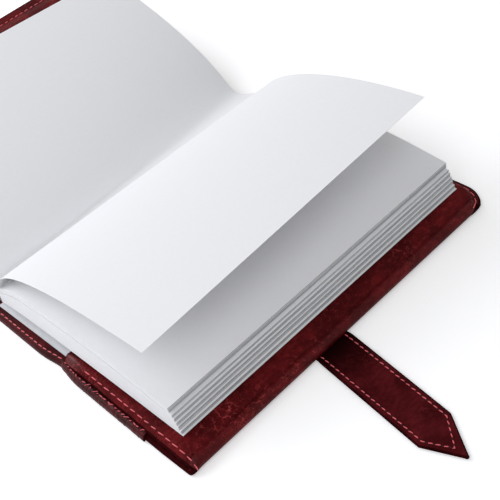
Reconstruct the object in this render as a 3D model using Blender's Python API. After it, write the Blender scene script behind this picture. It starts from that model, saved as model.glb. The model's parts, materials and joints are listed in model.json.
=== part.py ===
"""Refillable leather notebook, lying open near its front with one leaf lifted.

Metres, +Z up. X runs from the spine to the back cover's fore-edge, Y from tail to head.
The origin is the centre of the back cover's underside, on the table.
"""
import math

import bmesh
import bpy

# Pages and block
page_width = 0.148
page_height = 0.210
binding_thickness = 0.0085
fore_edge_thickness = 0.0148
page_bulge_low = 0.0012
page_bulge_high = 0.0043
page_setback = 0.0055
section_count = 6
top_leaves_thickness = 0.0009
page_fan_share = 0.2
leaf_thickness = 0.0005
endpaper_thickness = 0.0004
stub_width = 0.005
lining_thickness = 0.0008

# Card of the insert
board_thickness = 0.0022
board_overhang = 0.0025
insert_spine_thickness = 0.001

# Leather cover
leather_thickness = 0.0026
flap_thickness = 0.0018
gutter_margin = 0.003
fore_overhang = 0.0162
end_overhang = 0.0112
panel_corner_radius = 0.006
flap_corner_radius = 0.009
spine_width = 0.031
flap_width = 0.108
flap_inset = 0.0035
flap_sewn_band = 0.0032
flap_slope_band = 0.0016
flap_fold_band = 0.003
hem_width = 0.0062
hem_inset = 0.0008
hem_thickness = 0.0015
hem_reach = 0.113
front_rest_angle = math.radians(11.5)

# Closing strap and its keeper
strap_width = 0.0242
strap_thickness = 0.0018
strap_length = 0.090
strap_point_length = 0.0205
strap_middle_y = -0.0177
strap_drift = 0.0115
strap_root_length = 0.040
strap_root_thickness = 0.0008
keeper_width = 0.012
keeper_thickness = 0.0014
keeper_foot = 0.007
keeper_side_room = 0.0035
keeper_room = 0.0006
keeper_from_edge = 0.022

# Sewing
thread_width = 0.0008
thread_height = 0.0005
flap_seam_inset = 0.0018
flap_seam_sweep = math.radians(40.0)
hem_seam_inset = 0.0016
strap_seam_inset = 0.003
seam_end_room = 0.002

# Clearances
gap = 0.0003
fold_gap = 0.0004
strap_swing_gap = 0.0006

# Curves of the free leaves at tail and head: run and rise from the binding, in page widths
lifted_tail_shares = ((0.0034, 0.0), (0.068, 0.176), (0.405, 0.270), (0.919, 0.291))
lifted_head_shares = ((0.0034, 0.0), (0.068, 0.149), (0.405, 0.284), (0.878, 0.324))
left_tail_shares = ((-0.0054, 0.0), (-0.081, 0.081), (-0.270, 0.324), (-0.838, 0.405))
left_head_shares = ((-0.0054, 0.0), (-0.203, -0.162), (-0.351, 0.149), (-0.919, 0.257))

# How finely curved surfaces are divided
corner_steps = 6
flap_rows = 8
flap_columns = 4
page_steps = 22
page_step_bunching = 1.3
leaf_steps = 20
stub_steps = 3
leaf_rows = 8
strap_steps = 6
curve_slope_step = 0.01

# Places worked out from the sizes above
cover_width = gutter_margin + page_width + fore_overhang
cover_half = page_height / 2 + end_overhang
fold_z = leather_thickness
back_axis_x = -cover_width / 2
front_axis_x = back_axis_x - spine_width
block_x = back_axis_x + gutter_margin
fore_x = cover_width / 2
board_low = leather_thickness + gap
board_top = board_low + board_thickness
flap_top = board_top + gap + flap_thickness
binding_low = board_top + gap + endpaper_thickness + gap
binding_top = binding_low + binding_thickness
fore_low = flap_top + gap + endpaper_thickness + gap
closed_top = fold_z + spine_width + leather_thickness
strap_axis_x = fore_x + strap_swing_gap
strap_axis_z = strap_thickness + gap + thread_height
riser_length = closed_top + 2 * gap - strap_axis_z
flap_half = cover_half - flap_inset
hem_half = cover_half - hem_inset

# Finishes: colour, roughness
leather_finish = ((0.055, 0.008, 0.010), 0.42)
strap_finish = ((0.050, 0.008, 0.010), 0.6)
thread_finish = ((0.55, 0.08, 0.10), 0.6)
page_finish = ((0.80, 0.81, 0.84), 0.85)
board_finish = ((0.30, 0.31, 0.33), 0.8)
card_finish = ((0.10, 0.10, 0.11), 0.8)
lining_finish = ((0.75, 0.72, 0.70), 0.9)

BACK = 1
FRONT = -1
ENDS = ((-1, "tail"), (1, "head"))


def clear_scene():
    for item in list(bpy.data.objects):
        bpy.data.objects.remove(item, do_unlink=True)


def make_material(name, finish):
    colour, roughness = finish
    material = bpy.data.materials.new(name)
    material.use_nodes = True
    shader = material.node_tree.nodes["Principled BSDF"]
    shader.inputs["Base Color"].default_value = (*colour, 1.0)
    shader.inputs["Roughness"].default_value = roughness
    shader.inputs["Metallic"].default_value = 0.0
    return material


def make_pivot(name, place, parent=None, parent_place=(0.0, 0.0, 0.0), turn=0.0):
    """An empty on a fold line; turn is its rest angle about Y."""
    pivot = bpy.data.objects.new(name, None)
    bpy.context.scene.collection.objects.link(pivot)
    pivot.parent = parent
    pivot.location = [a - b for a, b in zip(place, parent_place)]
    pivot.rotation_euler = (0.0, turn, 0.0)
    return pivot, place


def make_object(name, body, finish, pivot=None):
    """One named object from a closed body, given as points and faces in the flat layout."""
    mesh = bpy.data.meshes.new(name)
    shift = pivot[1] if pivot else (0.0, 0.0, 0.0)
    points, faces = body
    solid = bmesh.new()
    corners = [solid.verts.new([a - b for a, b in zip(point, shift)]) for point in points]
    for face in faces:
        solid.faces.new([corners[index] for index in face])
    bmesh.ops.recalc_face_normals(solid, faces=solid.faces)
    solid.to_mesh(mesh)
    solid.free()
    mesh.materials.append(make_material(name, finish))
    item = bpy.data.objects.new(name, mesh)
    bpy.context.scene.collection.objects.link(item)
    if pivot:
        item.parent = pivot[0]
    return item


def prism(low_ring, high_ring):
    """A closed body between two rings with as many points each."""
    count = len(low_ring)
    faces = [list(range(count)), list(range(2 * count - 1, count - 1, -1))]
    for index in range(count):
        after = (index + 1) % count
        faces.append([index, after, count + after, count + index])
    return list(low_ring) + list(high_ring), faces


def slab(outline, low, high):
    """An outline in X and Y, made solid from low to high."""
    return prism([(x, y, low) for x, y in outline], [(x, y, high) for x, y in outline])


def box(low, high):
    outline = [(low[0], low[1]), (high[0], low[1]), (high[0], high[1]), (low[0], high[1])]
    return slab(outline, low[2], high[2])


def bar(outline, half):
    """An outline in X and Z, made solid along Y by half to each side."""
    return prism([(x, -half, z) for x, z in outline], [(x, half, z) for x, z in outline])


def grid_sheet(under, over):
    """A closed sheet between two grids of points, given row by row."""
    rows = len(under)
    columns = len(under[0])
    points = [point for row in under for point in row] + [point for row in over for point in row]
    base = rows * columns
    faces = []
    for row in range(rows - 1):
        for column in range(columns - 1):
            corner = row * columns + column
            faces.append([corner, corner + 1, corner + columns + 1, corner + columns])
            faces.append([base + index for index in faces[-1][::-1]])
    rim = list(range(columns))
    rim += [row * columns + columns - 1 for row in range(1, rows)]
    rim += [(rows - 1) * columns + column for column in range(columns - 2, -1, -1)]
    rim += [row * columns for row in range(rows - 2, 0, -1)]
    for index, corner in enumerate(rim):
        after = rim[(index + 1) % len(rim)]
        faces.append([corner, after, base + after, base + corner])
    return points, faces


def smooth(value):
    value = min(1.0, max(0.0, value))
    return value * value * (3.0 - 2.0 * value)


def cover_x(side, reach):
    """X of a point that lies reach away from its half's fold line."""
    return back_axis_x + reach if side == BACK else front_axis_x - reach


def cover_reach(side, x):
    """How far a point at x lies from its half's fold line."""
    return x - back_axis_x if side == BACK else front_axis_x - x


def corner_arc(middle_reach, middle_y, radius, start, end):
    points = []
    for step in range(corner_steps + 1):
        angle = start + (end - start) * step / corner_steps
        points.append((middle_reach + radius * math.cos(angle), middle_y + radius * math.sin(angle)))
    return points


def panel_outline(side):
    """Outline of a half cover: square at the fold, rounded at the fore-edge corners."""
    middle = cover_width - panel_corner_radius
    high = cover_half - panel_corner_radius
    points = [(fold_gap, -cover_half)]
    points += corner_arc(middle, -high, panel_corner_radius, -math.pi / 2, 0.0)
    points += corner_arc(middle, high, panel_corner_radius, 0.0, math.pi / 2)
    points += [(fold_gap, cover_half)]
    return [(cover_x(side, reach), y) for reach, y in points]


def flap_reach(y):
    """How far the flap reaches at y, with its rounded corners."""
    into = abs(y) - (flap_half - flap_corner_radius)
    if into <= 0.0:
        return cover_width
    return cover_width - flap_corner_radius + math.sqrt(max(0.0, flap_corner_radius ** 2 - into ** 2))


def flap_under(side, reach, y):
    """Height of the flap's underside: on the panel where it is sewn, over the board elsewhere."""
    from_end = flap_half - abs(y)
    from_fore = flap_reach(y) - reach
    rise = smooth((from_end - flap_sewn_band) / flap_slope_band)
    if side == BACK:
        rise = min(rise, smooth(from_fore / flap_fold_band))
    else:
        rise = min(rise, smooth((from_fore - flap_sewn_band) / flap_slope_band))
    return board_low + rise * (board_thickness + gap)


def edge_steps():
    """Distances from a sewn edge at which the flap's surface bends."""
    slope = [flap_sewn_band + flap_slope_band * share for share in (0.0, 0.25, 0.5, 0.75, 1.0)]
    fold = [flap_fold_band * share for share in (0.0, 0.25, 0.5, 1.0)]
    return sorted(fold + slope)


def flap_body(side):
    steps = edge_steps()
    inner = flap_half - steps[-1]
    rows = [-flap_half + step for step in steps]
    rows += [-inner + 2 * inner * index / flap_rows for index in range(1, flap_rows)]
    rows += [flap_half - step for step in reversed(steps)]
    start = cover_width - flap_width
    under = []
    over = []
    for y in rows:
        end = flap_reach(y)
        flat = end - steps[-1]
        reaches = [start + (flat - start) * index / flap_columns for index in range(flap_columns)]
        reaches += [end - step for step in reversed(steps)]
        low = [(cover_x(side, reach), y, flap_under(side, reach, y)) for reach in reaches]
        under.append(low)
        over.append([(x, y, z + flap_thickness) for x, y, z in low])
    return grid_sheet(under, over)


def flap_seams(side):
    """Sewing lines of a flap in reach and Y: round all three sides in front, tail and head behind."""
    start = cover_width - flap_width + seam_end_room
    middle = cover_width - flap_corner_radius
    radius = flap_corner_radius - flap_seam_inset
    sweep = flap_seam_sweep if side == BACK else math.pi / 2
    lines = []
    for end in (-1, 1):
        first = end * math.pi / 2
        line = [(start, end * (flap_half - flap_seam_inset))]
        line += corner_arc(middle, end * (flap_half - flap_corner_radius), radius, first, first - end * sweep)
        lines.append(line)
    if side == BACK:
        return {"_tail": lines[0], "_head": lines[1]}
    return {"": lines[0] + lines[1][::-1]}


def seam_body(line, ground):
    """Row of sewing along a line of points in X and Y, as one thread lying on the ground's height."""
    under = []
    for index, place in enumerate(line):
        before = line[max(0, index - 1)]
        after = line[min(len(line) - 1, index + 1)]
        length = math.dist(before, after)
        cross_x = -(after[1] - before[1]) / length * thread_width / 2
        cross_y = (after[0] - before[0]) / length * thread_width / 2
        sides = [(place[0] + way * cross_x, place[1] + way * cross_y) for way in (-1, 1)]
        under.append([(x, y, ground(x, y) + gap) for x, y in sides])
    over = [[(x, y, z + thread_height) for x, y, z in row] for row in under]
    return grid_sheet(under, over)


def hem_body(first_x, last_x, end):
    low_y, high_y = sorted((end * (hem_half - hem_width), end * hem_half))
    low_x, high_x = sorted((first_x, last_x))
    return box((low_x, low_y, board_low), (high_x, high_y, board_low + hem_thickness))


def flap_hem_body(side, end):
    """Hem of a half cover: as wide as it is turned in up to the flap, then the strip left past its edge."""
    start = cover_x(side, gutter_margin)
    flap_start = cover_x(side, cover_width - flap_width - gap)
    last = cover_x(side, hem_reach)
    outer = end * hem_half
    inner = end * (hem_half - hem_width)
    strip = end * (flap_half + gap)
    outline = [(start, outer), (last, outer), (last, strip), (flap_start, strip), (flap_start, inner),
               (start, inner)]
    return slab(outline, board_low, board_low + hem_thickness)


def flap_hem_seam(side, end):
    y = end * (hem_half - hem_seam_inset)
    reaches = (gutter_margin + seam_end_room, hem_reach - seam_end_room)
    line = [(cover_x(side, reach), y) for reach in reaches]
    return seam_body(line, lambda x, y: board_low + hem_thickness)


def build_half(side, word, pivot):
    """Leather, card and sewing of one half of the cover."""
    panel = make_object(word + "_panel", slab(panel_outline(side), 0.0, leather_thickness),
                        leather_finish, pivot)
    make_object(word + "_flap", flap_body(side), leather_finish, pivot)
    for place, line in flap_seams(side).items():
        seam = seam_body([(cover_x(side, reach), y) for reach, y in line],
                         lambda x, y: flap_under(side, cover_reach(side, x), y) + flap_thickness)
        make_object(word + "_flap_seam" + place, seam, thread_finish, pivot)

    for end, place in ENDS:
        make_object(word + "_hem_" + place, flap_hem_body(side, end), leather_finish, pivot)
        make_object(word + "_hem_seam_" + place, flap_hem_seam(side, end), thread_finish, pivot)

    board_half = page_height / 2 + board_overhang
    first, last = sorted((cover_x(side, gutter_margin + gap),
                          cover_x(side, gutter_margin + page_width + board_overhang)))
    board = box((first, -board_half, board_low), (last, board_half, board_top))
    make_object(word + "_board", board, board_finish, pivot)
    return panel


def build_spine(pivot):
    first = front_axis_x + fold_gap
    last = back_axis_x - fold_gap
    panel = box((first, -cover_half, 0.0), (last, cover_half, leather_thickness))
    make_object("spine_panel", panel, leather_finish, pivot)
    card_half = page_height / 2 + board_overhang
    card = box((first, -card_half, board_low), (last, card_half, board_low + insert_spine_thickness))
    make_object("insert_spine", card, card_finish, pivot)
    for end, place in ENDS:
        make_object("spine_hem_" + place, hem_body(first, last, end), leather_finish, pivot)


def page_height_at(share, reach):
    """Height of a page that lies share of the way up the block, reach away from the binding."""
    along_page = reach / page_width
    binding = binding_low + share * binding_thickness
    fore = fore_low + share * fore_edge_thickness
    fan = 1.0 - (1.0 - min(1.0, along_page / page_fan_share)) ** 2
    bulge = math.sin(math.pi * min(1.0, along_page)) * (page_bulge_low + share * page_bulge_high)
    return binding + (fore - binding) * fan + bulge


def page_outline(low_share, high_share, low_lift, high_lift):
    """Outline in X and Z of the pages between two shares of the block."""
    points = []
    for share, lift, backwards in ((low_share, low_lift, False), (high_share, high_lift, True)):
        length = page_width - share * page_setback
        edge = []
        for step in range(page_steps + 1):
            reach = length * (step / page_steps) ** page_step_bunching
            edge.append((block_x + reach, page_height_at(share, reach) + lift))
        points += reversed(edge) if backwards else edge
    return points


def build_block():
    top_share = 1.0 - top_leaves_thickness / fore_edge_thickness
    half = page_height / 2
    for index in range(section_count):
        low = top_share * index / section_count
        high = top_share * (index + 1) / section_count
        outline = page_outline(low, high, 0.0, -gap)
        make_object("page_section_%d" % (index + 1), bar(outline, half), page_finish)
    leaves = page_outline(top_share, 1.0, 0.0, 0.0)
    make_object("top_leaves", bar(leaves, half), page_finish)
    paper = page_outline(0.0, 0.0, -gap - endpaper_thickness, -gap)
    make_object("back_endpaper", bar(paper, half), page_finish)
    lining = box((block_x - gap - lining_thickness, -half + board_overhang, binding_low),
                 (block_x - gap, half - board_overhang, binding_top))
    make_object("spine_lining", lining, lining_finish)


def bezier(controls, share):
    """Point of a Bezier curve at a share of its parameter, in X and Z."""
    points = list(controls)
    while len(points) > 1:
        points = [[a + (b - a) * share for a, b in zip(first, second)]
                  for first, second in zip(points, points[1:])]
    return points[0]


def leaf_body(tail_curve, head_curve, first_share, last_share, steps):
    """A thin leaf whose cross-section goes from the tail curve to the head curve."""
    under = []
    over = []
    for row in range(leaf_rows + 1):
        toward_head = row / leaf_rows
        y = page_height * toward_head - page_height / 2
        controls = [[a + (b - a) * toward_head for a, b in zip(first, second)]
                    for first, second in zip(tail_curve, head_curve)]
        low = []
        high = []
        for step in range(steps + 1):
            share = first_share + (last_share - first_share) * step / steps
            before = bezier(controls, max(0.0, share - curve_slope_step))
            after = bezier(controls, min(1.0, share + curve_slope_step))
            x, z = bezier(controls, share)
            length = math.dist(before, after)
            lift_x = -(after[1] - before[1]) / length * leaf_thickness / 2
            lift_z = (after[0] - before[0]) / length * leaf_thickness / 2
            low.append((x - lift_x, y, z - lift_z))
            high.append((x + lift_x, y, z + lift_z))
        under.append(low)
        over.append(high)
    return grid_sheet(under, over)


def leaf_curve(shares):
    """Control points in X and Z of a leaf that starts on top of the binding."""
    start_z = binding_top + gap + leaf_thickness
    return [(block_x + run * page_width, start_z + rise * page_width) for run, rise in shares]


def build_leaves():
    """The lifted leaf, which turns on its glued stub, and the leaf turned to the left."""
    tail = leaf_curve(lifted_tail_shares)
    head = leaf_curve(lifted_head_shares)
    stub_share = stub_width / page_width
    stub_end = (stub_width - 2 * gap) / page_width
    make_object("leaf_stub", leaf_body(tail, head, 0.0, stub_end, stub_steps), page_finish)
    turn_x, turn_z = bezier(tail, stub_share)
    leaf_pivot = make_pivot("leaf_axis", (turn_x, 0.0, turn_z))
    make_object("lifted_leaf", leaf_body(tail, head, stub_share, 1.0, leaf_steps), page_finish, leaf_pivot)

    left_tail = leaf_curve(left_tail_shares)
    left_head = leaf_curve(left_head_shares)
    left_x, left_z = left_tail[0]
    left_pivot = make_pivot("left_leaf_axis", (left_x, 0.0, left_z))
    make_object("left_leaf", leaf_body(left_tail, left_head, 0.0, 1.0, leaf_steps), page_finish, left_pivot)


def strap_middle(x):
    """Sideways drift of the strap's middle line."""
    share = (x - strap_axis_x) / strap_length
    return strap_middle_y - strap_drift * max(0.0, share)


def strap_outline(first, last, inset, pointed):
    """Outline of a stretch of the strap from first to last, with its point if it has one."""
    shoulder = last - strap_point_length if pointed else last
    half = strap_width / 2 - inset
    middle_line = []
    for step in range(strap_steps + 1):
        x = first + (shoulder - first) * step / strap_steps
        middle_line.append((x, strap_middle(x)))
    outline = [(x, y - half) for x, y in middle_line]
    if pointed:
        outline.append((last - inset * strap_point_length / half, strap_middle(last)))
    return outline + [(x, y + half) for x, y in reversed(middle_line)]


def strap_seams(first, last, pointed):
    """Sewing lines along a stretch of the strap: both edges, joined round the point."""
    outline = strap_outline(first + seam_end_room, last, strap_seam_inset, pointed)
    if pointed:
        return {"_seam": outline}
    half = len(outline) // 2
    return {"_seam_lower": outline[:half], "_seam_upper": outline[half:]}


def build_strap():
    """Strap root sewn under the back cover, the riser and the pointed tongue."""
    low_y = strap_middle_y - strap_width / 2
    high_y = strap_middle_y + strap_width / 2
    root = box((fore_x - strap_root_length, low_y, gap),
               (strap_axis_x - gap, high_y, gap + strap_root_thickness))
    make_object("strap_root", root, strap_finish)

    lift = make_pivot("strap_lift_axis", (strap_axis_x, 0.0, strap_axis_z))
    wrap_x = strap_axis_x + riser_length
    wrap = make_pivot("strap_wrap_axis", (wrap_x, 0.0, strap_axis_z), *lift)
    tip_x = strap_axis_x + strap_length
    stretches = (("strap_riser", strap_axis_x + gap, wrap_x - gap, False, lift),
                 ("strap_tongue", wrap_x + gap, tip_x, True, wrap))
    for name, first, last, pointed, pivot in stretches:
        outline = strap_outline(first, last, 0.0, pointed)
        make_object(name, slab(outline, 0.0, strap_thickness), strap_finish, pivot)
        for place, line in strap_seams(first, last, pointed).items():
            seam = seam_body(line, lambda x, y: strap_thickness)
            make_object(name + place, seam, thread_finish, pivot)


def cut_strap_recess(panel):
    """Shallow recess under the back cover's fore-edge for the strap's root."""
    depth = strap_root_thickness + 2 * gap
    low = (fore_x - strap_root_length - gap, strap_middle_y - strap_width / 2 - gap, -depth)
    high = (fore_x + depth, strap_middle_y + strap_width / 2 + gap, depth)
    cutter = make_object("strap_recess_cutter", box(low, high), leather_finish)
    cutter.hide_render = True
    cutter.display_type = "WIRE"
    cut = panel.modifiers.new("strap_recess", "BOOLEAN")
    cut.operation = "DIFFERENCE"
    cut.solver = "EXACT"
    cut.object = cutter


def build_front_lining(pivot):
    """Endpaper pasted on the front board, from the fold to the flap."""
    first, last = sorted((cover_x(FRONT, gutter_margin + 2 * gap),
                          cover_x(FRONT, cover_width - flap_width - gap)))
    half = page_height / 2
    paper = box((first, -half, board_top + gap), (last, half, board_top + gap + endpaper_thickness))
    make_object("front_endpaper", paper, page_finish, pivot)


def build_keeper(pivot):
    """Loop on the outside of the front cover that the strap's tongue goes through."""
    inner = strap_width / 2 + keeper_side_room
    outer = inner + keeper_thickness
    foot = outer + keeper_foot
    bridge = 2 * gap + strap_axis_z + keeper_room
    middle_y = strap_middle(strap_axis_x + riser_length + keeper_from_edge + keeper_width / 2)
    section = [(-foot, -gap), (-inner, -gap), (-inner, -bridge), (inner, -bridge), (inner, -gap),
               (foot, -gap), (foot, -gap - keeper_thickness), (outer, -gap - keeper_thickness),
               (outer, -bridge - keeper_thickness), (-outer, -bridge - keeper_thickness),
               (-outer, -gap - keeper_thickness), (-foot, -gap - keeper_thickness)]
    first = cover_x(FRONT, cover_width - keeper_from_edge)
    last = cover_x(FRONT, cover_width - keeper_from_edge - keeper_width)
    loop = prism([(first, middle_y + y, z) for y, z in section],
                 [(last, middle_y + y, z) for y, z in section])
    make_object("strap_keeper", loop, strap_finish, pivot)


def main():
    clear_scene()
    panel = build_half(BACK, "back", None)
    cut_strap_recess(panel)
    build_block()
    build_leaves()
    build_strap()
    spine = make_pivot("spine_axis", (back_axis_x, 0.0, fold_z))
    build_spine(spine)
    front = make_pivot("front_axis", (front_axis_x, 0.0, fold_z), *spine, front_rest_angle)
    build_half(FRONT, "front", front)
    build_front_lining(front)
    build_keeper(front)


main()
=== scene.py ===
"""Looks of the leather notebook: leather, sewing, card, paper and a plain studio.

Metres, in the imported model's frame: +X from the spine to the back cover's fore-edge, +Y from tail to
head, +Z up, with the back cover's underside on the floor.
"""
import json
import logging
import math
from dataclasses import dataclass, field
from enum import Enum
from functools import cached_property
from typing import Sequence

import bmesh
import bpy
import numpy as np
from mathutils import Matrix, Vector, noise


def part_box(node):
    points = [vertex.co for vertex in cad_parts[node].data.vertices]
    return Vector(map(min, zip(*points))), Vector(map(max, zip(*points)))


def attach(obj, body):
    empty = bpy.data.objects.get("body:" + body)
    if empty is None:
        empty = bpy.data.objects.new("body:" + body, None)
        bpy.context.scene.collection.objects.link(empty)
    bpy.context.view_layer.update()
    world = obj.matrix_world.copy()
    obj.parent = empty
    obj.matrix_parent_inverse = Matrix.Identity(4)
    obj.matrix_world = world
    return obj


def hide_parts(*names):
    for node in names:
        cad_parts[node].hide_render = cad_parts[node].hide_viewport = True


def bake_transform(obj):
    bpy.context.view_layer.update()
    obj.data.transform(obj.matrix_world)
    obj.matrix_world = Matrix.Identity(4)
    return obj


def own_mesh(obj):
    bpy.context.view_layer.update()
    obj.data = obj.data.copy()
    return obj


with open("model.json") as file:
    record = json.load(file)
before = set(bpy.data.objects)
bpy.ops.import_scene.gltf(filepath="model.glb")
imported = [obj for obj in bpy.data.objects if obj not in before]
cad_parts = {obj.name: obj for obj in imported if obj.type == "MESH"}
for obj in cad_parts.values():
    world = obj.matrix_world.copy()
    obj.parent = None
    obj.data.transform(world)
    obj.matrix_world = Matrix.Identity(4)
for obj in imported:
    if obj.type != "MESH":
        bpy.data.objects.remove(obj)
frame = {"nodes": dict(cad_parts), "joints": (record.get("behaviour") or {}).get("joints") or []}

LOG = logging.getLogger("notebook")
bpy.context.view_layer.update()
UP = (0.0, 0.0, 1.0)
PROBE = 0.0002  # step from a point to its neighbours, to find a surface's normal there
Array = np.ndarray
Colour = tuple[float, float, float]
Number = float | Array
Item = bpy.types.Object
Socket = bpy.types.NodeSocket


class Side(Enum):
    """The two halves of the cover."""

    BACK = "back"
    FRONT = "front"


class End(Enum):
    """The two ends of the notebook along its spine, with their way along Y."""

    TAIL = -1
    HEAD = 1

    @property
    def word(self) -> str:
        """The end's name in piece names."""
        return self.name.lower()


class Surface(Enum):
    """Which finish of a piece a face takes."""

    FACE = 0
    EDGE = 1
    FORE = 2


def smooth(value: Number) -> Number:
    """Eases from 0 to 1 between a value of 0 and 1."""
    share = np.clip(value, 0.0, 1.0)
    return share * share * (3.0 - 2.0 * share)


def hump(value: Number, middle: float, width: float) -> Number:
    """A bell of height 1 round a middle."""
    return np.exp(-(((value - middle) / width) ** 2))


def unit(vectors: Array) -> Array:
    """Scales vectors to length 1."""
    return vectors / np.maximum(np.linalg.norm(vectors, axis=-1, keepdims=True), 1e-12)


def points_of(*parts: Number) -> Array:
    """Points from their coordinates, each of them one number or an array."""
    return np.stack(np.broadcast_arrays(*parts), axis=-1)


def normals(grid: Array) -> Array:
    """Normals of a grid of points."""
    return unit(np.cross(np.gradient(grid, axis=0), np.gradient(grid, axis=1)))


def mirrored(inset: Array) -> Array:
    """Shares from -1 to 1, the same on both sides of 0, from their distances to 1."""
    high = 1.0 - inset
    return np.concatenate([-high, high[-2::-1]])


def ripple(places: Array, wavelength: float, seed: float) -> Array:
    """Smooth noise at places in metres.

    Args:
        places: points, with X, Y and Z on the last axis.
        wavelength: distance between neighbouring waves.
        seed: shifts the pattern.

    Returns:
        Values from about -1 to 1, one per point.
    """
    flat = np.asarray(places, float).reshape(-1, 3) / wavelength + seed
    return np.array([noise.noise(Vector(place)) for place in flat]).reshape(places.shape[:-1])


def stations(start: float, *stretches: tuple[float, float]) -> Array:
    """Places along a line, closer where a stretch asks for it.

    Args:
        start: first place.
        stretches: the end of each stretch and the step taken on the way to it.

    Returns:
        The places in order.
    """
    places = [start]
    for end, step in stretches:
        count = max(1, math.ceil(abs(end - places[-1]) / step))
        places.extend(np.linspace(places[-1], end, count + 1)[1:])
    return np.array(places)


def rounded_line(corners: Sequence[Sequence[float]], radius: float, steps: int = 6) -> Array:
    """A line through corners that are rounded off.

    Args:
        corners: the points in order.
        radius: how far before and after a corner the rounding starts.
        steps: points along each rounding.

    Returns:
        The line's points.
    """
    points = [np.asarray(corner, float) for corner in corners]
    line = [points[0]]
    for before, corner, after in zip(points, points[1:], points[2:]):
        first = corner + unit(before - corner) * radius
        last = corner + unit(after - corner) * radius
        for share in np.linspace(0.0, 1.0, steps):
            line.append((1 - share) ** 2 * first + 2 * share * (1 - share) * corner + share ** 2 * last)
    return np.array(line + [points[-1]])


def run_of(line: Array) -> Array:
    """Distances of a line's points from its first one, measured along the line."""
    return np.concatenate([[0.0], np.cumsum(np.linalg.norm(np.diff(line, axis=0), axis=1))])


def read_off(places: Array, run: Array, rows: Array) -> Array:
    """Values at places along a line, between the rows of values that belong to its points."""
    return np.stack([np.interp(places, run, column) for column in rows.T], axis=-1)


def resample(line: Array, step: float) -> Array:
    """Points at even distances along a line.

    Args:
        line: the line's points.
        step: the distance that is wanted, which is fitted to the line's length.

    Returns:
        The new points, from the line's first to its last.
    """
    run = run_of(line)
    places = np.linspace(0.0, run[-1], max(2, round(run[-1] / step) + 1))
    return read_off(places, run, line)


def turned_edge(across: Array, inner: Number, outer: Number, bend: float, fall: float) -> tuple[Array, Array]:
    """Profile of a hem: flat in its first half, turned down over the cover's edge in its second.

    Args:
        across: 0 at the hem's inner edge, 1 at the foot of the turned edge.
        inner: where the hem starts.
        outer: how far out the turned edge stands.
        bend: width of the turned edge.
        fall: height of the turned edge.

    Returns:
        How far out each place lies, and how far below the hem's top.
    """
    turn = np.clip((across - 0.5) / 0.5, 0.0, 1.0) * math.pi / 2
    out = inner + (outer - bend - inner) * np.minimum(across / 0.5, 1.0) + bend * np.sin(turn)
    return out, fall * (1.0 - np.cos(turn))


def joint(name: str) -> dict:
    """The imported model's joint of that name."""
    return next(item for item in frame["joints"] if item["name"] == name)


def link(name: str, data: bpy.types.ID) -> Item:
    """Makes an object and links it to the scene.

    Args:
        name: the object's name.
        data: its mesh, lamp or camera.

    Returns:
        The new object, at the frame's origin.
    """
    item = bpy.data.objects.new(name, data)
    bpy.context.scene.collection.objects.link(item)
    return item


def bend_round(item: Item) -> None:
    """Bakes a piece's placement into its mesh."""
    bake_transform(item)


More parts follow.
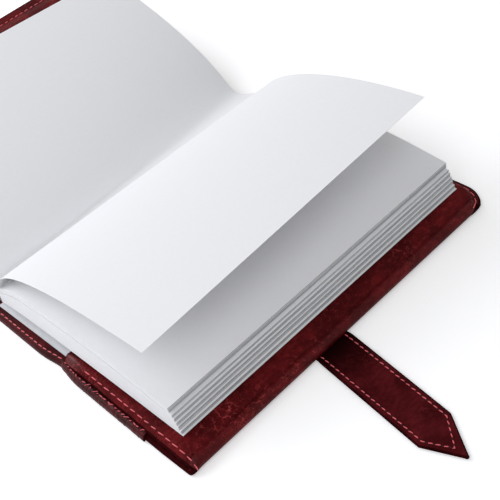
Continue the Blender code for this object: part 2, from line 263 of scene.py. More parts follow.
class NodeTree:
    """Builds the nodes of a material or of the world round its shader."""

    def __init__(self, owner: bpy.types.Material | bpy.types.World, shader: str = "Principled BSDF") -> None:
        """Starts the owner's nodes.

        Args:
            owner: a new material or world.
            shader: name of the shader node that it comes with.
        """
        owner.use_nodes = True
        self.owner = owner
        self.nodes, self.links = owner.node_tree.nodes, owner.node_tree.links
        self.shader = self.nodes[shader]

    @cached_property
    def place(self) -> Socket:
        """Places in the piece's own coordinates."""
        return self.add("ShaderNodeTexCoord", {}, "Object")

    def put(self, socket: Socket, value: object) -> None:
        """Links a socket to another one, or sets it to a number or colour.

        Args:
            socket: the input.
            value: what it takes.
        """
        if isinstance(value, Socket):
            self.links.new(value, socket)
        elif isinstance(value, tuple) and socket.type == "RGBA":
            socket.default_value = (*value, 1.0)
        else:
            socket.default_value = value

    def add(self, kind: str, inputs: dict, output: str | int = 0, **settings: object) -> Socket:
        """Adds a node.

        Args:
            kind: Blender's name of the node's type.
            inputs: values or sockets by input name or number.
            output: the output that is wanted.
            settings: the node's own settings.

        Returns:
            The wanted output socket.
        """
        node = self.nodes.new(kind)
        for name, value in settings.items():
            setattr(node, name, value)
        for key, value in inputs.items():
            self.put(node.inputs[key], value)
        return node.outputs[output]

    def grain(self, scale: float, detail: float = 3.0, stretch: tuple = (1.0, 1.0, 1.0)) -> Socket:
        """Noise of a scale per metre, stretched along the axes."""
        place = self.add("ShaderNodeMapping", {"Vector": self.place, "Scale": stretch})
        return self.add("ShaderNodeTexNoise", {"Vector": place, "Scale": scale, "Detail": detail})

    def ease(self, value: Socket, low: float, high: float) -> Socket:
        """Eases from 0 to 1 between two values."""
        return self.add("ShaderNodeMapRange", {"Value": value, "From Min": low, "From Max": high},
                        interpolation_type="SMOOTHSTEP")

    def mix(self, share: object, first: object, second: object) -> Socket:
        """Mixes two colours."""
        return self.add("ShaderNodeMix", {0: share, 6: first, 7: second}, 2, data_type="RGBA")

    def sum(self, operation: str, first: object, second: object) -> Socket:
        """Works out a sum, product or the like of two values."""
        return self.add("ShaderNodeMath", {0: first, 1: second}, operation=operation)

    def mark(self) -> Socket:
        """The value that the mesh carries per point."""
        return self.add("ShaderNodeAttribute", {}, "Fac", attribute_name="mark")

    def seen(self, lit: float, shown: float) -> Socket:
        """One value for rays that light the object, and another for rays that show what is behind it.

        Args:
            lit: value for lighting rays.
            shown: value for camera, glossy and transmission rays.

        Returns:
            The socket with the value.
        """
        path = self.nodes.new("ShaderNodeLightPath").outputs
        shows = self.sum("MAXIMUM", path["Is Camera Ray"], path["Is Glossy Ray"])
        shows = self.sum("MAXIMUM", shows, path["Is Transmission Ray"])
        return self.add("ShaderNodeMapRange", {"Value": shows, "To Min": lit, "To Max": shown})

    def dress(self, colour: object, roughness: object, specular: float) -> None:
        """Sets the shader's main inputs.

        Args:
            colour: the base colour.
            roughness: the roughness.
            specular: the specular level.
        """
        self.put(self.shader.inputs["Base Color"], colour)
        self.put(self.shader.inputs["Roughness"], roughness)
        self.put(self.shader.inputs["Specular IOR Level"], specular)

    def emboss(self, height: Socket, depth: float, strength: float = 1.0) -> None:
        """Adds a bump of that depth in metres."""
        bump = self.add("ShaderNodeBump", {"Height": height, "Distance": depth, "Strength": strength})
        self.put(self.shader.inputs["Normal"], bump)


@dataclass(frozen=True)
class Finish:
    """A finish with a name, which makes its material once."""

    name: str

    def material(self) -> bpy.types.Material:
        """Makes the finish's material at its first use.

        Returns:
            The material.
        """
        known = bpy.data.materials.get(self.name)
        if known:
            return known
        tree = NodeTree(bpy.data.materials.new(self.name))
        self.paint(tree)
        return tree.owner

    def paint(self, tree: NodeTree) -> None:
        """Builds the finish's nodes."""
        raise NotImplementedError


@dataclass(frozen=True)
class LeatherFinish(Finish):
    """Dyed leather with clouds, fine streaks and a net of lighter creases in patches.

    Points marked above 0 get a clear coat. Points marked below 0 are darkened towards near-black with painted
    shade: the shade in the cover's crease inside the fore-edge roll, and the back cover's shadow on the
    strap's root.
    """

    dark: Colour
    light: Colour
    crease: Colour
    roughness: float
    index: float
    shine: float
    # how strongly a mark below 0 darkens the colour, as painted shade
    painted_shade: float
    crease_share: float
    grain_depth: float

    def paint(self, tree: NodeTree) -> None:
        """Builds the leather's nodes.

        Args:
            tree: the material to build.
        """
        clouds = tree.ease(tree.grain(75.0, 6.0), 0.36, 0.66)
        fibres = tree.ease(tree.grain(520.0, 4.0, (1.0, 0.4, 1.0)), 0.40, 0.66)
        body = tree.mix(clouds, self.dark, self.light)
        body = tree.mix(tree.sum("MULTIPLY", fibres, 0.6), body, self.dark)
        nets = [self.net(tree, scale, width) for scale, width in ((240.0, 0.035), (520.0, 0.045))]
        net = tree.sum("MAXIMUM", *nets)
        patches = tree.ease(tree.grain(30.0, 2.0), 0.50, 0.68)
        broken = tree.ease(tree.grain(330.0, 3.0), 0.44, 0.60)
        spread = tree.sum("ADD", tree.sum("MULTIPLY", patches, 0.75), 0.25)
        creases = tree.sum("MULTIPLY", tree.sum("MULTIPLY", net, spread), broken)
        colour = tree.mix(tree.sum("MULTIPLY", creases, self.crease_share), body, self.crease)
        pores = tree.grain(1700.0, 3.0)
        rough = tree.sum("ADD", tree.sum("MULTIPLY", pores, 0.22), self.roughness - 0.11)
        # Painted shade: marks below 0 darken the colour towards near-black.
        painted_shade = tree.sum("MAXIMUM", tree.sum("MULTIPLY", tree.mark(), -self.painted_shade), 0.0)
        polish = tree.sum("MAXIMUM", tree.sum("MULTIPLY", tree.mark(), self.shine), 0.0)
        tree.dress(tree.mix(painted_shade, colour, (0.004, 0.0004, 0.0005)), rough, 0.5)
        tree.put(tree.shader.inputs["IOR"], self.index)
        tree.put(tree.shader.inputs["Coat Weight"], polish)
        tree.put(tree.shader.inputs["Coat Roughness"], 0.28)
        relief = tree.sum("SUBTRACT", tree.sum("ADD", pores, tree.grain(500.0, 3.0)), creases)
        tree.emboss(relief, self.grain_depth, 0.7)

    @staticmethod
    def net(tree: NodeTree, scale: float, width: float) -> Socket:
        """Fine lines of a net of creases.

        Args:
            tree: the material to build.
            scale: cells per metre.
            width: the lines' width, as a share of a cell.

        Returns:
            1 on the lines, 0 off them.
        """
        sway = tree.add("ShaderNodeTexNoise", {"Vector": tree.place, "Scale": scale, "Detail": 2.0}, "Color")
        shift = tree.add("ShaderNodeVectorMath", {0: sway, "Scale": 0.5 / scale}, operation="SCALE")
        bent = tree.add("ShaderNodeVectorMath", {0: tree.place, 1: shift}, operation="ADD")
        cells = tree.add("ShaderNodeTexVoronoi", {"Vector": bent, "Scale": scale}, "Distance",
                         feature="DISTANCE_TO_EDGE")
        return tree.sum("SUBTRACT", 1.0, tree.ease(cells, 0.0, width))


@dataclass(frozen=True)
class ThreadFinish(Finish):
    """Waxed thread with darker fibres."""

    colour: Colour
    shade: Colour

    def paint(self, tree: NodeTree) -> None:
        """Builds the thread's nodes.

        Args:
            tree: the material to build.
        """
        fibres = tree.grain(2600.0, 2.0)
        tree.dress(tree.mix(tree.ease(fibres, 0.4, 0.75), self.colour, self.shade), 0.55, 0.25)
        tree.emboss(fibres, 0.00008)


@dataclass(frozen=True)
class PaperFinish(Finish):
    """Uncoated writing paper with a faint tooth."""

    colour: Colour
    shade: Colour

    def paint(self, tree: NodeTree) -> None:
        """Builds the paper's nodes.

        Args:
            tree: the material to build.
        """
        tooth = tree.grain(1100.0, 4.0)
        clouds = tree.grain(420.0, 4.0)
        tree.dress(tree.mix(tree.ease(clouds, 0.35, 0.75), self.colour, self.shade), 0.9, 0.08)
        tree.emboss(tooth, 0.00004, 0.5)


@dataclass(frozen=True)
class PageEdgeFinish(Finish):
    """Cut edges of stacked pages: fine lines that follow the height in the stack."""

    colour: Colour
    shade: Colour
    lines: float

    def paint(self, tree: NodeTree) -> None:
        """Builds the page edges' nodes.

        Args:
            tree: the material to build.
        """
        height = tree.sum("MULTIPLY", tree.mark(), self.lines)
        cuts = tree.add("ShaderNodeTexNoise", {"W": height, "Scale": 1.0, "Detail": 2.0},
                        noise_dimensions="1D")
        wear = tree.grain(90.0, 3.0, (1.0, 0.25, 1.0))
        share = tree.sum("ADD", tree.ease(cuts, 0.42, 0.72), tree.sum("MULTIPLY", wear, 0.10))
        tree.dress(tree.mix(share, self.colour, self.shade), 0.9, 0.05)
        tree.emboss(cuts, 0.00002, 0.5)


@dataclass(frozen=True)
class CardFinish(Finish):
    """Pressed card with flecks and fibres."""

    colour: Colour
    fleck: Colour

    def paint(self, tree: NodeTree) -> None:
        """Builds the card's nodes.

        Args:
            tree: the material to build.
        """
        flecks = tree.ease(tree.grain(1500.0, 2.0), 0.55, 0.75)
        clouds = tree.ease(tree.grain(220.0, 4.0), 0.3, 0.8)
        share = tree.sum("MULTIPLY", tree.sum("ADD", flecks, clouds), 0.5)
        tree.dress(tree.mix(share, self.colour, self.fleck), 0.85, 0.1)
        tree.emboss(tree.grain(1200.0, 3.0), 0.00006, 0.6)


@dataclass(frozen=True)
class GauzeFinish(Finish):
    """Glued gauze on the block's back."""

    colour: Colour
    shade: Colour

    def paint(self, tree: NodeTree) -> None:
        """Builds the gauze's nodes.

        Args:
            tree: the material to build.
        """
        threads = [tree.add("ShaderNodeTexWave", {"Vector": tree.place, "Scale": 260.0, "Distortion": 0.6},
                            bands_direction=way) for way in ("Y", "Z")]
        weave = tree.sum("MAXIMUM", *threads)
        tree.dress(tree.mix(tree.ease(weave, 0.35, 0.75), self.shade, self.colour), 0.9, 0.1)
        tree.emboss(weave, 0.0002)


# The eighth number of each leather is the strength of its painted shade: in the cover's crease and at the
# strap's root.
COVER_LEATHER = LeatherFinish("cover_leather", (0.054, 0.0028, 0.0036), (0.128, 0.0076, 0.0092),
                              (0.44, 0.056, 0.058), 0.5, 1.12, 0.5, 0.7, 0.9, 0.00006)
HEM_LEATHER = LeatherFinish("hem_leather", (0.030, 0.0018, 0.0025), (0.068, 0.0046, 0.0060),
                            (0.20, 0.024, 0.027), 0.42, 1.14, 0.35, 0.0, 0.6, 0.00012)
STRAP_LEATHER = LeatherFinish("matte_strap_leather", (0.050, 0.0044, 0.0056), (0.098, 0.0092, 0.0116),
                              (0.20, 0.028, 0.032), 0.85, 1.06, 0.0, 0.95, 0.6, 0.00004)
CUT_LEATHER = LeatherFinish("cut_leather", (0.014, 0.0010, 0.0013), (0.036, 0.0026, 0.0034),
                            (0.07, 0.007, 0.009), 0.8, 1.08, 0.0, 0.0, 0.3, 0.00010)
THREAD = ThreadFinish("red_thread", (0.76, 0.150, 0.170), (0.58, 0.085, 0.100))
# Near-black needle holes: painted shade inside the holes.
PAINTED_HOLE_SHADE = ThreadFinish("needle_hole", (0.006, 0.0008, 0.0010), (0.012, 0.0012, 0.0016))
PAPER = PaperFinish("page_paper", (0.853, 0.855, 0.868), (0.843, 0.845, 0.858))
PAGE_EDGE = PageEdgeFinish("page_edge", (0.84, 0.845, 0.865), (0.76, 0.765, 0.785), 42.0)
# The pages' fore-edge is a darker copy of their cut edges: painted shade for the side that faces away from
# the lamps.
SHADED_FORE_EDGE = PageEdgeFinish("page_fore_edge", (0.46, 0.465, 0.48), (0.30, 0.305, 0.32), 60.0)
BOARD_CARD = CardFinish("board_card", (0.65, 0.66, 0.68), (0.53, 0.54, 0.56))
SPINE_CARD = CardFinish("insert_spine_card", (0.22, 0.225, 0.235), (0.15, 0.155, 0.165))
GAUZE = GauzeFinish("spine_gauze", (0.72, 0.69, 0.66), (0.5, 0.47, 0.45))


@dataclass
class Shell:
    """Points and faces of one piece while it is being built."""

    points: list[Array] = field(default_factory=list)
    marks: list[Array] = field(default_factory=list)
    faces: list[tuple[int, ...]] = field(default_factory=list)
    surfaces: list[int] = field(default_factory=list)
    count: int = 0

    def add_points(self, points: Array, mark: Number = 0.0) -> Array:
        """Adds points.

        Args:
            points: an array with X, Y and Z on its last axis.
            mark: the value that the points carry, one for all or one each.

        Returns:
            The points' numbers, in the array's own shape.
        """
        shape = points.shape[:-1]
        size = int(np.prod(shape))
        self.points.append(points.reshape(-1, 3))
        self.marks.append(np.broadcast_to(mark, shape).reshape(-1).astype(float))
        self.count += size
        return np.arange(self.count - size, self.count).reshape(shape)

    def add_quads(self, index: Array, around: bool = False, surface: Surface = Surface.FACE) -> None:
        """Joins a grid of point numbers with quads.

        Args:
            index: the grid.
            around: also joins its last column to its first.
            surface: which finish the faces take.
        """
        if around:
            index = np.column_stack([index, index[:, :1]])
        quads = np.stack([index[:-1, :-1], index[1:, :-1], index[1:, 1:], index[:-1, 1:]], axis=-1)
        rows = [tuple(quad) for quad in quads.reshape(-1, 4).tolist()]
        self.faces.extend(rows)
        self.surfaces.extend([surface.value] * len(rows))

    def add_cap(self, ring: Array, surface: Surface = Surface.FACE) -> None:
        """Closes a ring of point numbers with one face."""
        self.faces.append(tuple(ring.tolist()))
        self.surfaces.append(surface.value)

    def add_sheet(self, middle: Array, thickness: Number, mark: Number = 0.0, square_end: bool = False,
                  rim_steps: int = 4) -> None:
        """Adds a closed sheet round its middle surface, with a rounded rim.

        Args:
            middle: grid of points, row by row.
            thickness: one for the sheet or one per point.
            mark: the value that its points carry.
            square_end: leaves the rim along the first column flat, for a butt joint.
            rim_steps: faces round the rim's half circle.
        """
        rows, columns = middle.shape[:2]
        normal = normals(middle)
        half = np.broadcast_to(thickness, (rows, columns))[..., None] / 2
        marks = np.broadcast_to(mark, (rows, columns))
        top = self.add_points(middle + normal * half, marks)
        under = self.add_points(middle - normal * half, marks)
        self.add_quads(top)
        self.add_quads(under)
        down = list(range(rows))
        right = list(range(1, columns))
        ring = [(row, 0) for row in down] + [(rows - 1, column) for column in right]
        ring += [(row, columns - 1) for row in down[-2::-1]] + [(0, column) for column in right[-2::-1]]
        at = tuple(np.array(ring).T)
        edge, up = middle[at], normal[at]
        way = np.roll(edge, -1, axis=0) - np.roll(edge, 1, axis=0)
        out = unit(np.cross(way, up)) * half[at]
        if square_end:
            out[1:rows - 1] = 0.0
            out[0], out[rows - 1] = out[-1], out[rows]
        rims = [under[at]]
        for angle in np.linspace(-90.0, 90.0, rim_steps + 1)[1:-1]:
            turn = math.radians(angle)
            places = edge + up * half[at] * math.sin(turn) + out * math.cos(turn)
            rims.append(self.add_points(places, marks[at]))
        self.add_quads(np.array(rims + [top[at]]), True, Surface.EDGE)

    def add_skin(self, outer: Array, thickness: float, mark: Number = 0.0) -> None:
        """Adds a closed sheet below its outer surface, which faces up.

        Args:
            outer: grid of points on the outer surface.
            thickness: the sheet's thickness.
            mark: the value that its points carry.
        """
        normal = normals(outer)
        way = math.copysign(1.0, normal[..., 2].mean())
        self.add_sheet(outer - normal * (way * thickness / 2), thickness, mark)

    def piece(self, name: str, slot: str, nodes: Sequence[str], *finishes: Finish,
              sharp: float = 50.0) -> Item:
        """Makes the object in place of its CAD nodes.

        Args:
            name: the piece's name.
            slot: not used.
            nodes: CAD nodes it stands for.
            finishes: one per surface; the last one also takes the surfaces after it.
            sharp: angle in degrees above which an edge stays sharp.

        Returns:
            The new object, at the frame's origin.
        """
        mesh = bpy.data.meshes.new(name)
        mesh.from_pydata(np.concatenate(self.points).tolist(), [], self.faces)
        for finish in finishes:
            mesh.materials.append(finish.material())
        mesh.polygons.foreach_set("material_index", np.minimum(self.surfaces, len(finishes) - 1))
        mesh.attributes.new("mark", "FLOAT", "POINT").data.foreach_set("value", np.concatenate(self.marks))
        solid = bmesh.new()
        solid.from_mesh(mesh)
        bmesh.ops.recalc_face_normals(solid, faces=solid.faces)
        solid.to_mesh(mesh)
        solid.free()
        mesh.shade_smooth()
        mesh.set_sharp_from_angle(angle=math.radians(sharp))
        item = link(name, mesh)
        if nodes:
            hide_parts(*nodes)
        LOG.info("made %s: %d points", name, self.count)
        return item

    def seam(self, name: str, *nodes: str) -> Item:
        """Makes a row of stitches in place of its CAD nodes."""
        return self.piece(name, "thread", nodes, THREAD, PAINTED_HOLE_SHADE)


@dataclass(frozen=True)
class Layout:
    """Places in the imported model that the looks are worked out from."""

    back_x: float
    front_x: float
    fold_z: float
    rest_turn: float
    cover_width: float
    cover_half: float
    leather: float
    flap_start: float
    flap_half: float
    flap_low: float
    flap_top: float
    board_end: float
    hem_start: float
    hem_end: float
    hem_half: float
    hem_top: float
    fold_bend: float = 0.005
    taper: float = 0.0036
    taper_length: float = 0.145
    scoop: float = 0.0125
    scoop_width: float = 0.017

    @classmethod
    def read(cls) -> "Layout":
        """Reads the places from the nodes' boxes and the joints.

        Returns:
            The layout.
        """
        back_x, _, fold_z = joint("spine_fold")["pos_m"]
        cover_fold = joint("cover_fold")
        panel_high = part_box("back_panel")[1]
        flap_low, flap_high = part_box("back_flap")
        hem_low, hem_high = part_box("back_hem_tail")
        return cls(
            back_x=back_x,
            front_x=cover_fold["pos_m"][0],
            fold_z=fold_z,
            rest_turn=math.radians(90.0 - cover_fold["range_deg"][1]),
            cover_width=panel_high.x - back_x,
            cover_half=panel_high.y,
            leather=panel_high.z,
            flap_start=flap_low.x - back_x,
            flap_half=flap_high.y,
            flap_low=flap_low.z,
            flap_top=flap_high.z,
            board_end=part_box("back_board")[1].x - back_x,
            hem_start=hem_low.x - back_x,
            hem_end=hem_high.x - back_x,
            hem_half=-hem_low.y,
            hem_top=hem_high.z,
        )

    @property
    def spine_middle(self) -> float:
        """X of the spine's middle line, where the two halves of the cover meet."""
        return (self.back_x + self.front_x) / 2

    def past_spine(self, x: Number) -> Number:
        """Distance from the nearer fold line, below 0 on the spine."""
        return np.abs(x - self.spine_middle) - (self.back_x - self.front_x) / 2

    def drawn_in(self, reach: Number, way: Number) -> Number:
        """How far the cover's end stands back: tapered towards the spine, and scooped at the spine's head.

        Args:
            reach: distance from a fold line, below 0 on the spine.
            way: below 0 towards the tail, above 0 towards the head.

        Returns:
            The distance there.
        """
        taper = self.taper * np.maximum(0.0, 1.0 - reach / self.taper_length)
        scoop = self.scoop * hump(reach, (self.front_x - self.back_x) / 2, self.scoop_width)
        return taper + np.where(np.asarray(way) > 0.0, scoop, 0.0)

    def place(self, side: Side, flat: Array) -> Array:
        """Brings points of a half cover that is laid out flat to their rest place.

        Args:
            side: the half.
            flat: points as distance from the fold line, Y and height.

        Returns:
            The points in the frame.
        """
        place = flat.copy()
        if side is Side.BACK:
            place[..., 0] = self.back_x + flat[..., 0]
            return place
        away = -flat[..., 0]
        height = flat[..., 2] - self.fold_z
        turn = self.rest_turn * smooth((self.fold_bend - away) / (2 * self.fold_bend))
        place[..., 0] = self.front_x + away * np.cos(turn) + height * np.sin(turn)
        place[..., 2] = self.fold_z - away * np.sin(turn) + height * np.cos(turn)
        return place


@dataclass
class Stitches:
    """A row of twisted thread stitches with needle holes between them, whose near-black colour is painted
    shade.
    """

    pitch: float
    length: float
    thickness: float
    unevenness: float
    seed: int = 1
    slant: float = 0.00016
    shift_share: float = 0.25
    stretch_share: float = 0.5
    tilt_reach: float = 0.0006
    rings: int = 9
    sides: int = 8
    stand: float = 0.32
    dive: float = 0.85
    dive_power: int = 5
    ply_depth: float = 0.13
    ply_twist: float = 4.0
    thinning: float = 0.3
    flatness: float = 0.85
    hole_width: float = 0.0009
    hole_sides: int = 10
    hole_depth: float = 0.00012
    lid_share: float = 0.75
    lid_height: float = 0.00006

    def sew(self, shell: Shell, line: Array, up: Array) -> None:
        """Adds the row to a shell.

        Args:
            shell: what the stitches are added to.
            line: points on the leather's surface.
            up: the surface's normals there.
        """
        path = (line, up, run_of(line))
        total = path[2][-1]
        count = max(1, round(total / self.pitch))
        pitch = total / count
        chance = np.random.default_rng(self.seed)
        for number in range(count):
            shift, tilt, stretch = chance.normal(0.0, self.unevenness, 3)
            middle = (number + 0.5 + self.shift_share * shift) * pitch
            length = self.length * pitch / self.pitch * (1.0 + self.stretch_share * stretch)
            self.add_stitch(shell, path, middle, length, self.slant + self.tilt_reach * tilt)
        for number in range(count + 1):
            self.add_hole(shell, path, number * pitch, pitch - self.length)

    @staticmethod
    def along(path: tuple[Array, Array, Array], places: Array) -> tuple[Array, Array, Array]:
        """Reads the row's line.

        Args:
            path: the line's points, its normals and the points' distances along it.
            places: distances along the line.

        Returns:
            Points, normals and sideways directions there.
        """
        line, up, run = path
        point = read_off(places, run, line)
        normal = unit(read_off(places, run, up))
        return point, normal, unit(np.cross(normal, np.gradient(point, axis=0)))

    def add_stitch(self, shell: Shell, path: tuple[Array, Array, Array], middle: float, length: float,
                   slant: float) -> None:
        """Adds one stitch: a two-ply thread that dives into the leather at both ends.

        Args:
            shell: what it is added to.
            path: the row's line, as along takes it.
            middle: distance of the stitch's middle along the line.
            length: the stitch's length.
            slant: how far its ends stand beside the line.
        """
        share = np.linspace(-1.0, 1.0, self.rings)
        point, normal, cross = self.along(path, middle + share * length / 2)
        fall = np.abs(share) ** self.dive_power
        height = self.thickness * (self.stand - self.dive * fall)
        point = point + cross * (slant * share)[:, None] + normal * height[:, None]
        angle = np.linspace(0.0, 2 * math.pi, self.sides, endpoint=False)
        ply = 1.0 + self.ply_depth * np.cos(2 * angle[None, :] - self.ply_twist * share[:, None])
        radius = self.thickness / 2 * (1.0 - self.thinning * fall)[:, None] * ply
        ring = (cross[:, None, :] * (radius * np.cos(angle))[..., None]
                + normal[:, None, :] * (self.flatness * radius * np.sin(angle))[..., None])
        index = shell.add_points(point[:, None, :] + ring)
        shell.add_quads(index, True)
        shell.add_cap(index[0])
        shell.add_cap(index[-1])

    def add_hole(self, shell: Shell, path: tuple[Array, Array, Array], middle: float, length: float) -> None:
        """Adds one needle hole: a flat oval between two stitches, near-black as painted shade of the hole.

        Args:
            shell: what it is added to.
            path: the row's line, as along takes it.
            middle: distance of the hole's middle along the line.
            length: the hole's length.
        """
        reach = np.array([-0.5, 0.5]) * length
        point, normal, cross = self.along(path, np.clip(middle + reach, 0.0, path[2][-1]))
        centre, normal, cross = point.mean(axis=0), normal[0], cross[0]
        angle = np.linspace(0.0, 2 * math.pi, self.hole_sides, endpoint=False)
        oval = (np.cross(cross, normal) * (np.cos(angle) * length / 2)[:, None]
                + cross * (np.sin(angle) * self.hole_width / 2)[:, None])
        rim = shell.add_points(centre + oval - normal * self.hole_depth)
        lid = shell.add_points(centre + oval * self.lid_share + normal * self.lid_height)
        shell.add_quads(np.array([rim, lid]), True, Surface.EDGE)
        shell.add_cap(rim, Surface.EDGE)
        shell.add_cap(lid, Surface.EDGE)


class Seam(Enum):
    """Kinds of sewing: pitch, stitch length, thread thickness and unevenness."""

    BACK_FLAP = (0.0054, 0.0045, 0.00054, 0.12)
    FRONT_FLAP = (0.0044, 0.0032, 0.00062, 0.12)
    HEM = (0.0039, 0.0029, 0.00056, 0.10)
    CRUMPLED_HEM = (0.0030, 0.0019, 0.00050, 0.55)
    STRAP = (0.0037, 0.0026, 0.00056, 0.10)
    KEEPER = (0.0037, 0.0026, 0.00056, 0.0)

    def row(self, seed: int = 1) -> Stitches:
        """A row of this kind, with its own unevenness for each seed."""
        return Stitches(*self.value, seed)


@dataclass
class CoverHalf:
    """One half of the leather cover: panel, flap pocket, hems and sewing."""

    layout: Layout
    side: Side
    tail_corner: float = 0.0022
    head_corner: float = 0.0160
    front_corner: float = 0.0050
    rim_gap: float = 0.0004
    edge_dent: float = 0.0018
    dent_before: float = 0.002
    dent_length: float = 0.010
    recess_depth: float = 0.0014
    recess_room: float = 0.0012
    recess_slope: float = 0.0025
    recess_before: float = 0.002
    recess_ramp: float = 0.003
    flap_thickness: float = 0.0018
    flap_trim: float = 0.0063
    flap_flare: float = 0.0015
    flap_taper: float = 0.031
    sewn_band: float = 0.0005
    slope_band: float = 0.0029
    tail_inset: float = 0.0032
    head_inset: float = 0.0021
    front_inset: float = 0.0060
    front_slope: float = 0.0095
    groove_depth: float = 0.00022
    groove_width: float = 0.0006
    crease_inset: float = 0.0054
    crease_depth: float = 0.0006
    crease_width: float = 0.0011
    fore_settle: float = 0.35
    settle_before: float = 0.002
    settle_ramp: float = 0.009
    puff_length: float = 0.0130
    puff_height: float = 0.0011
    puff_inset: float = 0.0026
    notch_share: float = 0.6
    notch_length: float = 0.0016
    notch_width: float = 0.0014
    wave_height: float = 0.00012
    wave_numbers: tuple = (190.0, 71.0)
    roll_inset: float = 0.0034
    roll_steps: int = 15
    roll_shine: float = 0.22
    seam_after_puff: float = 0.0018
    hem_width: float = 0.0062
    hem_thickness: float = 0.0012
    hem_round: float = 0.0024
    hem_foot: float = 0.0008
    hem_lip: float = 0.0003
    hem_wave: float = 0.00015
    hem_wavelength: float = 0.018
    crumple_out: float = 0.0006
    crumple_lift: float = 0.0003
    crumple_crease: float = 0.0007
    crumple_sway: float = 0.00018
    crumple_wavelength: float = 0.0013
    fold_height: float = 0.00030
    fold_wavelength: float = 0.0008
    torn_reach: float = 0.1335
    mouth_lift: float = 0.0003
    mouth_wave: float = 0.0007
    mouth_wavelength: float = 0.0016
    mouth_thickness: float = 0.0006

    @property
    def width(self) -> float:
        """Distance from the fold line to the last line of the panel's middle surface."""
        rim = 0.0 if self.side is Side.BACK else self.layout.leather / 2
        return self.layout.cover_width - rim

    @property
    def flap_start(self) -> float:
        """Distance of the flap's inner edge from the fold line."""
        return self.layout.flap_start + (self.flap_trim if self.side is Side.BACK else 0.0)

    def pick(self, way: Number, front: float, tail: float, head: float) -> Number:
        """Picks a size.

        Args:
            way: below 0 towards the tail, above 0 towards the head.
            front: the size in the front half.
            tail: the size at the back half's tail.
            head: the size at the back half's head.

        Returns:
            The size there.
        """
        if self.side is Side.FRONT:
            return front
        return np.where(np.asarray(way) < 0.0, tail, head)

    def corner(self, way: Number) -> Number:
        """Corner radius towards the tail, below 0, or the head, above 0."""
        return self.pick(way, self.front_corner, self.tail_corner, self.head_corner)

    def inset(self, y: Number) -> Number:
        """Distance of the flap's sewing from the flap's edge, at tail or head."""
        return self.pick(y, self.front_inset, self.tail_inset, self.head_inset)

    def outline(self, reach: Number, half: float, way: Number) -> Number:
        """Half length of a sheet with rounded corners at the fore-edge.

        Args:
            reach: distance from the fold line.
            half: half length away from the corners.
            way: below 0 towards the tail, above 0 towards the head.

        Returns:
            The half length there.
        """
        corner = self.corner(way)
        into = np.clip(reach - (self.width - corner), 0.0, corner)
        return half - corner + np.sqrt(np.maximum(corner ** 2 - into ** 2, 0.0))

    def panel_outline(self, reach: Number, way: Number) -> Number:
        """Half length of the panel's middle surface: drawn in at the spine, dented where the flap starts.

        Args:
            reach: distance from the fold line.
            way: below 0 towards the tail, above 0 towards the head.

        Returns:
            The half length there.
        """
        layout = self.layout
        half = layout.cover_half - layout.leather / 2 - self.rim_gap
        dent = self.edge_dent * hump(reach, self.flap_start - self.dent_before, self.dent_length)
        return self.outline(reach, half, way) - dent - layout.drawn_in(reach, way)

    def flap_outline(self, reach: Number, way: Number) -> Number:
        """Half length of the flap's middle surface, which flares towards the tail corner behind.

        Args:
            reach: distance from the fold line.
            way: below 0 towards the tail, above 0 towards the head.

        Returns:
            The half length there.
        """
        half = self.outline(reach, self.layout.flap_half - self.flap_thickness / 2, way)
        flare = self.flap_flare - self.flap_taper * (self.width - reach)
        return half + self.pick(way, 0.0, flare, 0.0)

    def inside(self, reach: Number, y: Number) -> Number:
        """Distance of a place on the flap from the flap's nearest edge at tail, head or corner.

        Args:
            reach: distance from the fold line.
            y: place along the spine.

        Returns:
            The distance there.
        """
        corner = self.corner(y)
        straight = np.where(np.asarray(reach) > self.width - corner, self.width - corner, reach)
        past = np.abs(y) - self.flap_outline(straight, y) + corner
        round_share = smooth(past / (0.6 * corner))
        into = np.maximum(reach - self.width + corner, 0.0) * round_share
        return corner - np.where(past > 0.0, np.hypot(into, past), past)

    def puff(self, reach: Number, y: Number) -> Number:
        """How far the flap's loose inner corner stands up, from 0 to 1."""
        along = hump(reach - self.flap_start, self.puff_length * 0.45, self.puff_length * 0.42)
        return along * hump(self.inside(reach, y), self.puff_inset, self.puff_inset)

    def flap_top(self, reach: Number, y: Number) -> Number:
        """Height of the flap's outer surface.

        Args:
            reach: distance from the fold line.
            y: place along the spine.

        Returns:
            The height, in the flat layout.
        """
        layout = self.layout
        inside = self.inside(reach, y)
        fore = self.width - reach
        rise = smooth((inside - self.sewn_band) / self.slope_band)
        seam = hump(inside, self.inset(y), self.groove_width)
        low = layout.flap_low + self.flap_thickness
        if self.side is Side.FRONT:
            rise = np.minimum(rise, smooth((fore - self.front_inset) / self.front_slope))
            side_seam = hump(fore, self.front_inset, self.groove_width) * (inside > self.front_inset)
            return low + (layout.flap_top - low) * rise - self.groove_depth * np.maximum(seam, side_seam)
        past_board = reach + self.settle_before - layout.board_end
        settle = 1.0 - self.fore_settle * smooth(past_board / self.settle_ramp)
        crease = self.crease_depth * hump(fore, self.crease_inset, self.crease_width)
        start = reach - self.flap_start
        notch = hump(start, self.puff_length, self.notch_length)
        notch = notch * hump(inside, self.notch_length, self.notch_width)
        bulge = self.puff_height * (self.puff(reach, y) - self.notch_share * notch)
        first, second = self.wave_numbers
        wave = self.wave_height * np.sin(start * first) * np.sin(start * second + 1.0) * rise
        sewn = smooth((start - self.puff_length) / 0.002)
        return (low + (layout.flap_top - low) * rise * settle - crease * rise + bulge + wave
                - self.groove_depth * seam * sewn)

    def rows(self) -> Array:
        """Shares of the half length from tail to head, close together where the sewing is."""
        half = self.layout.cover_half
        return mirrored(stations(0.0, (0.0075, 0.00045), (0.02, 0.0025), (half, 0.0048)) / half)[:, None]

    def panel_columns(self, end: float) -> Array:
        """Distances from the fold line, from the spine's middle to an end near the fore-edge."""
        middle = self.layout.spine_middle - self.layout.back_x
        return stations(middle, (-0.007, 0.004), (0.007, 0.001), (0.150, 0.004), (end, 0.0008))

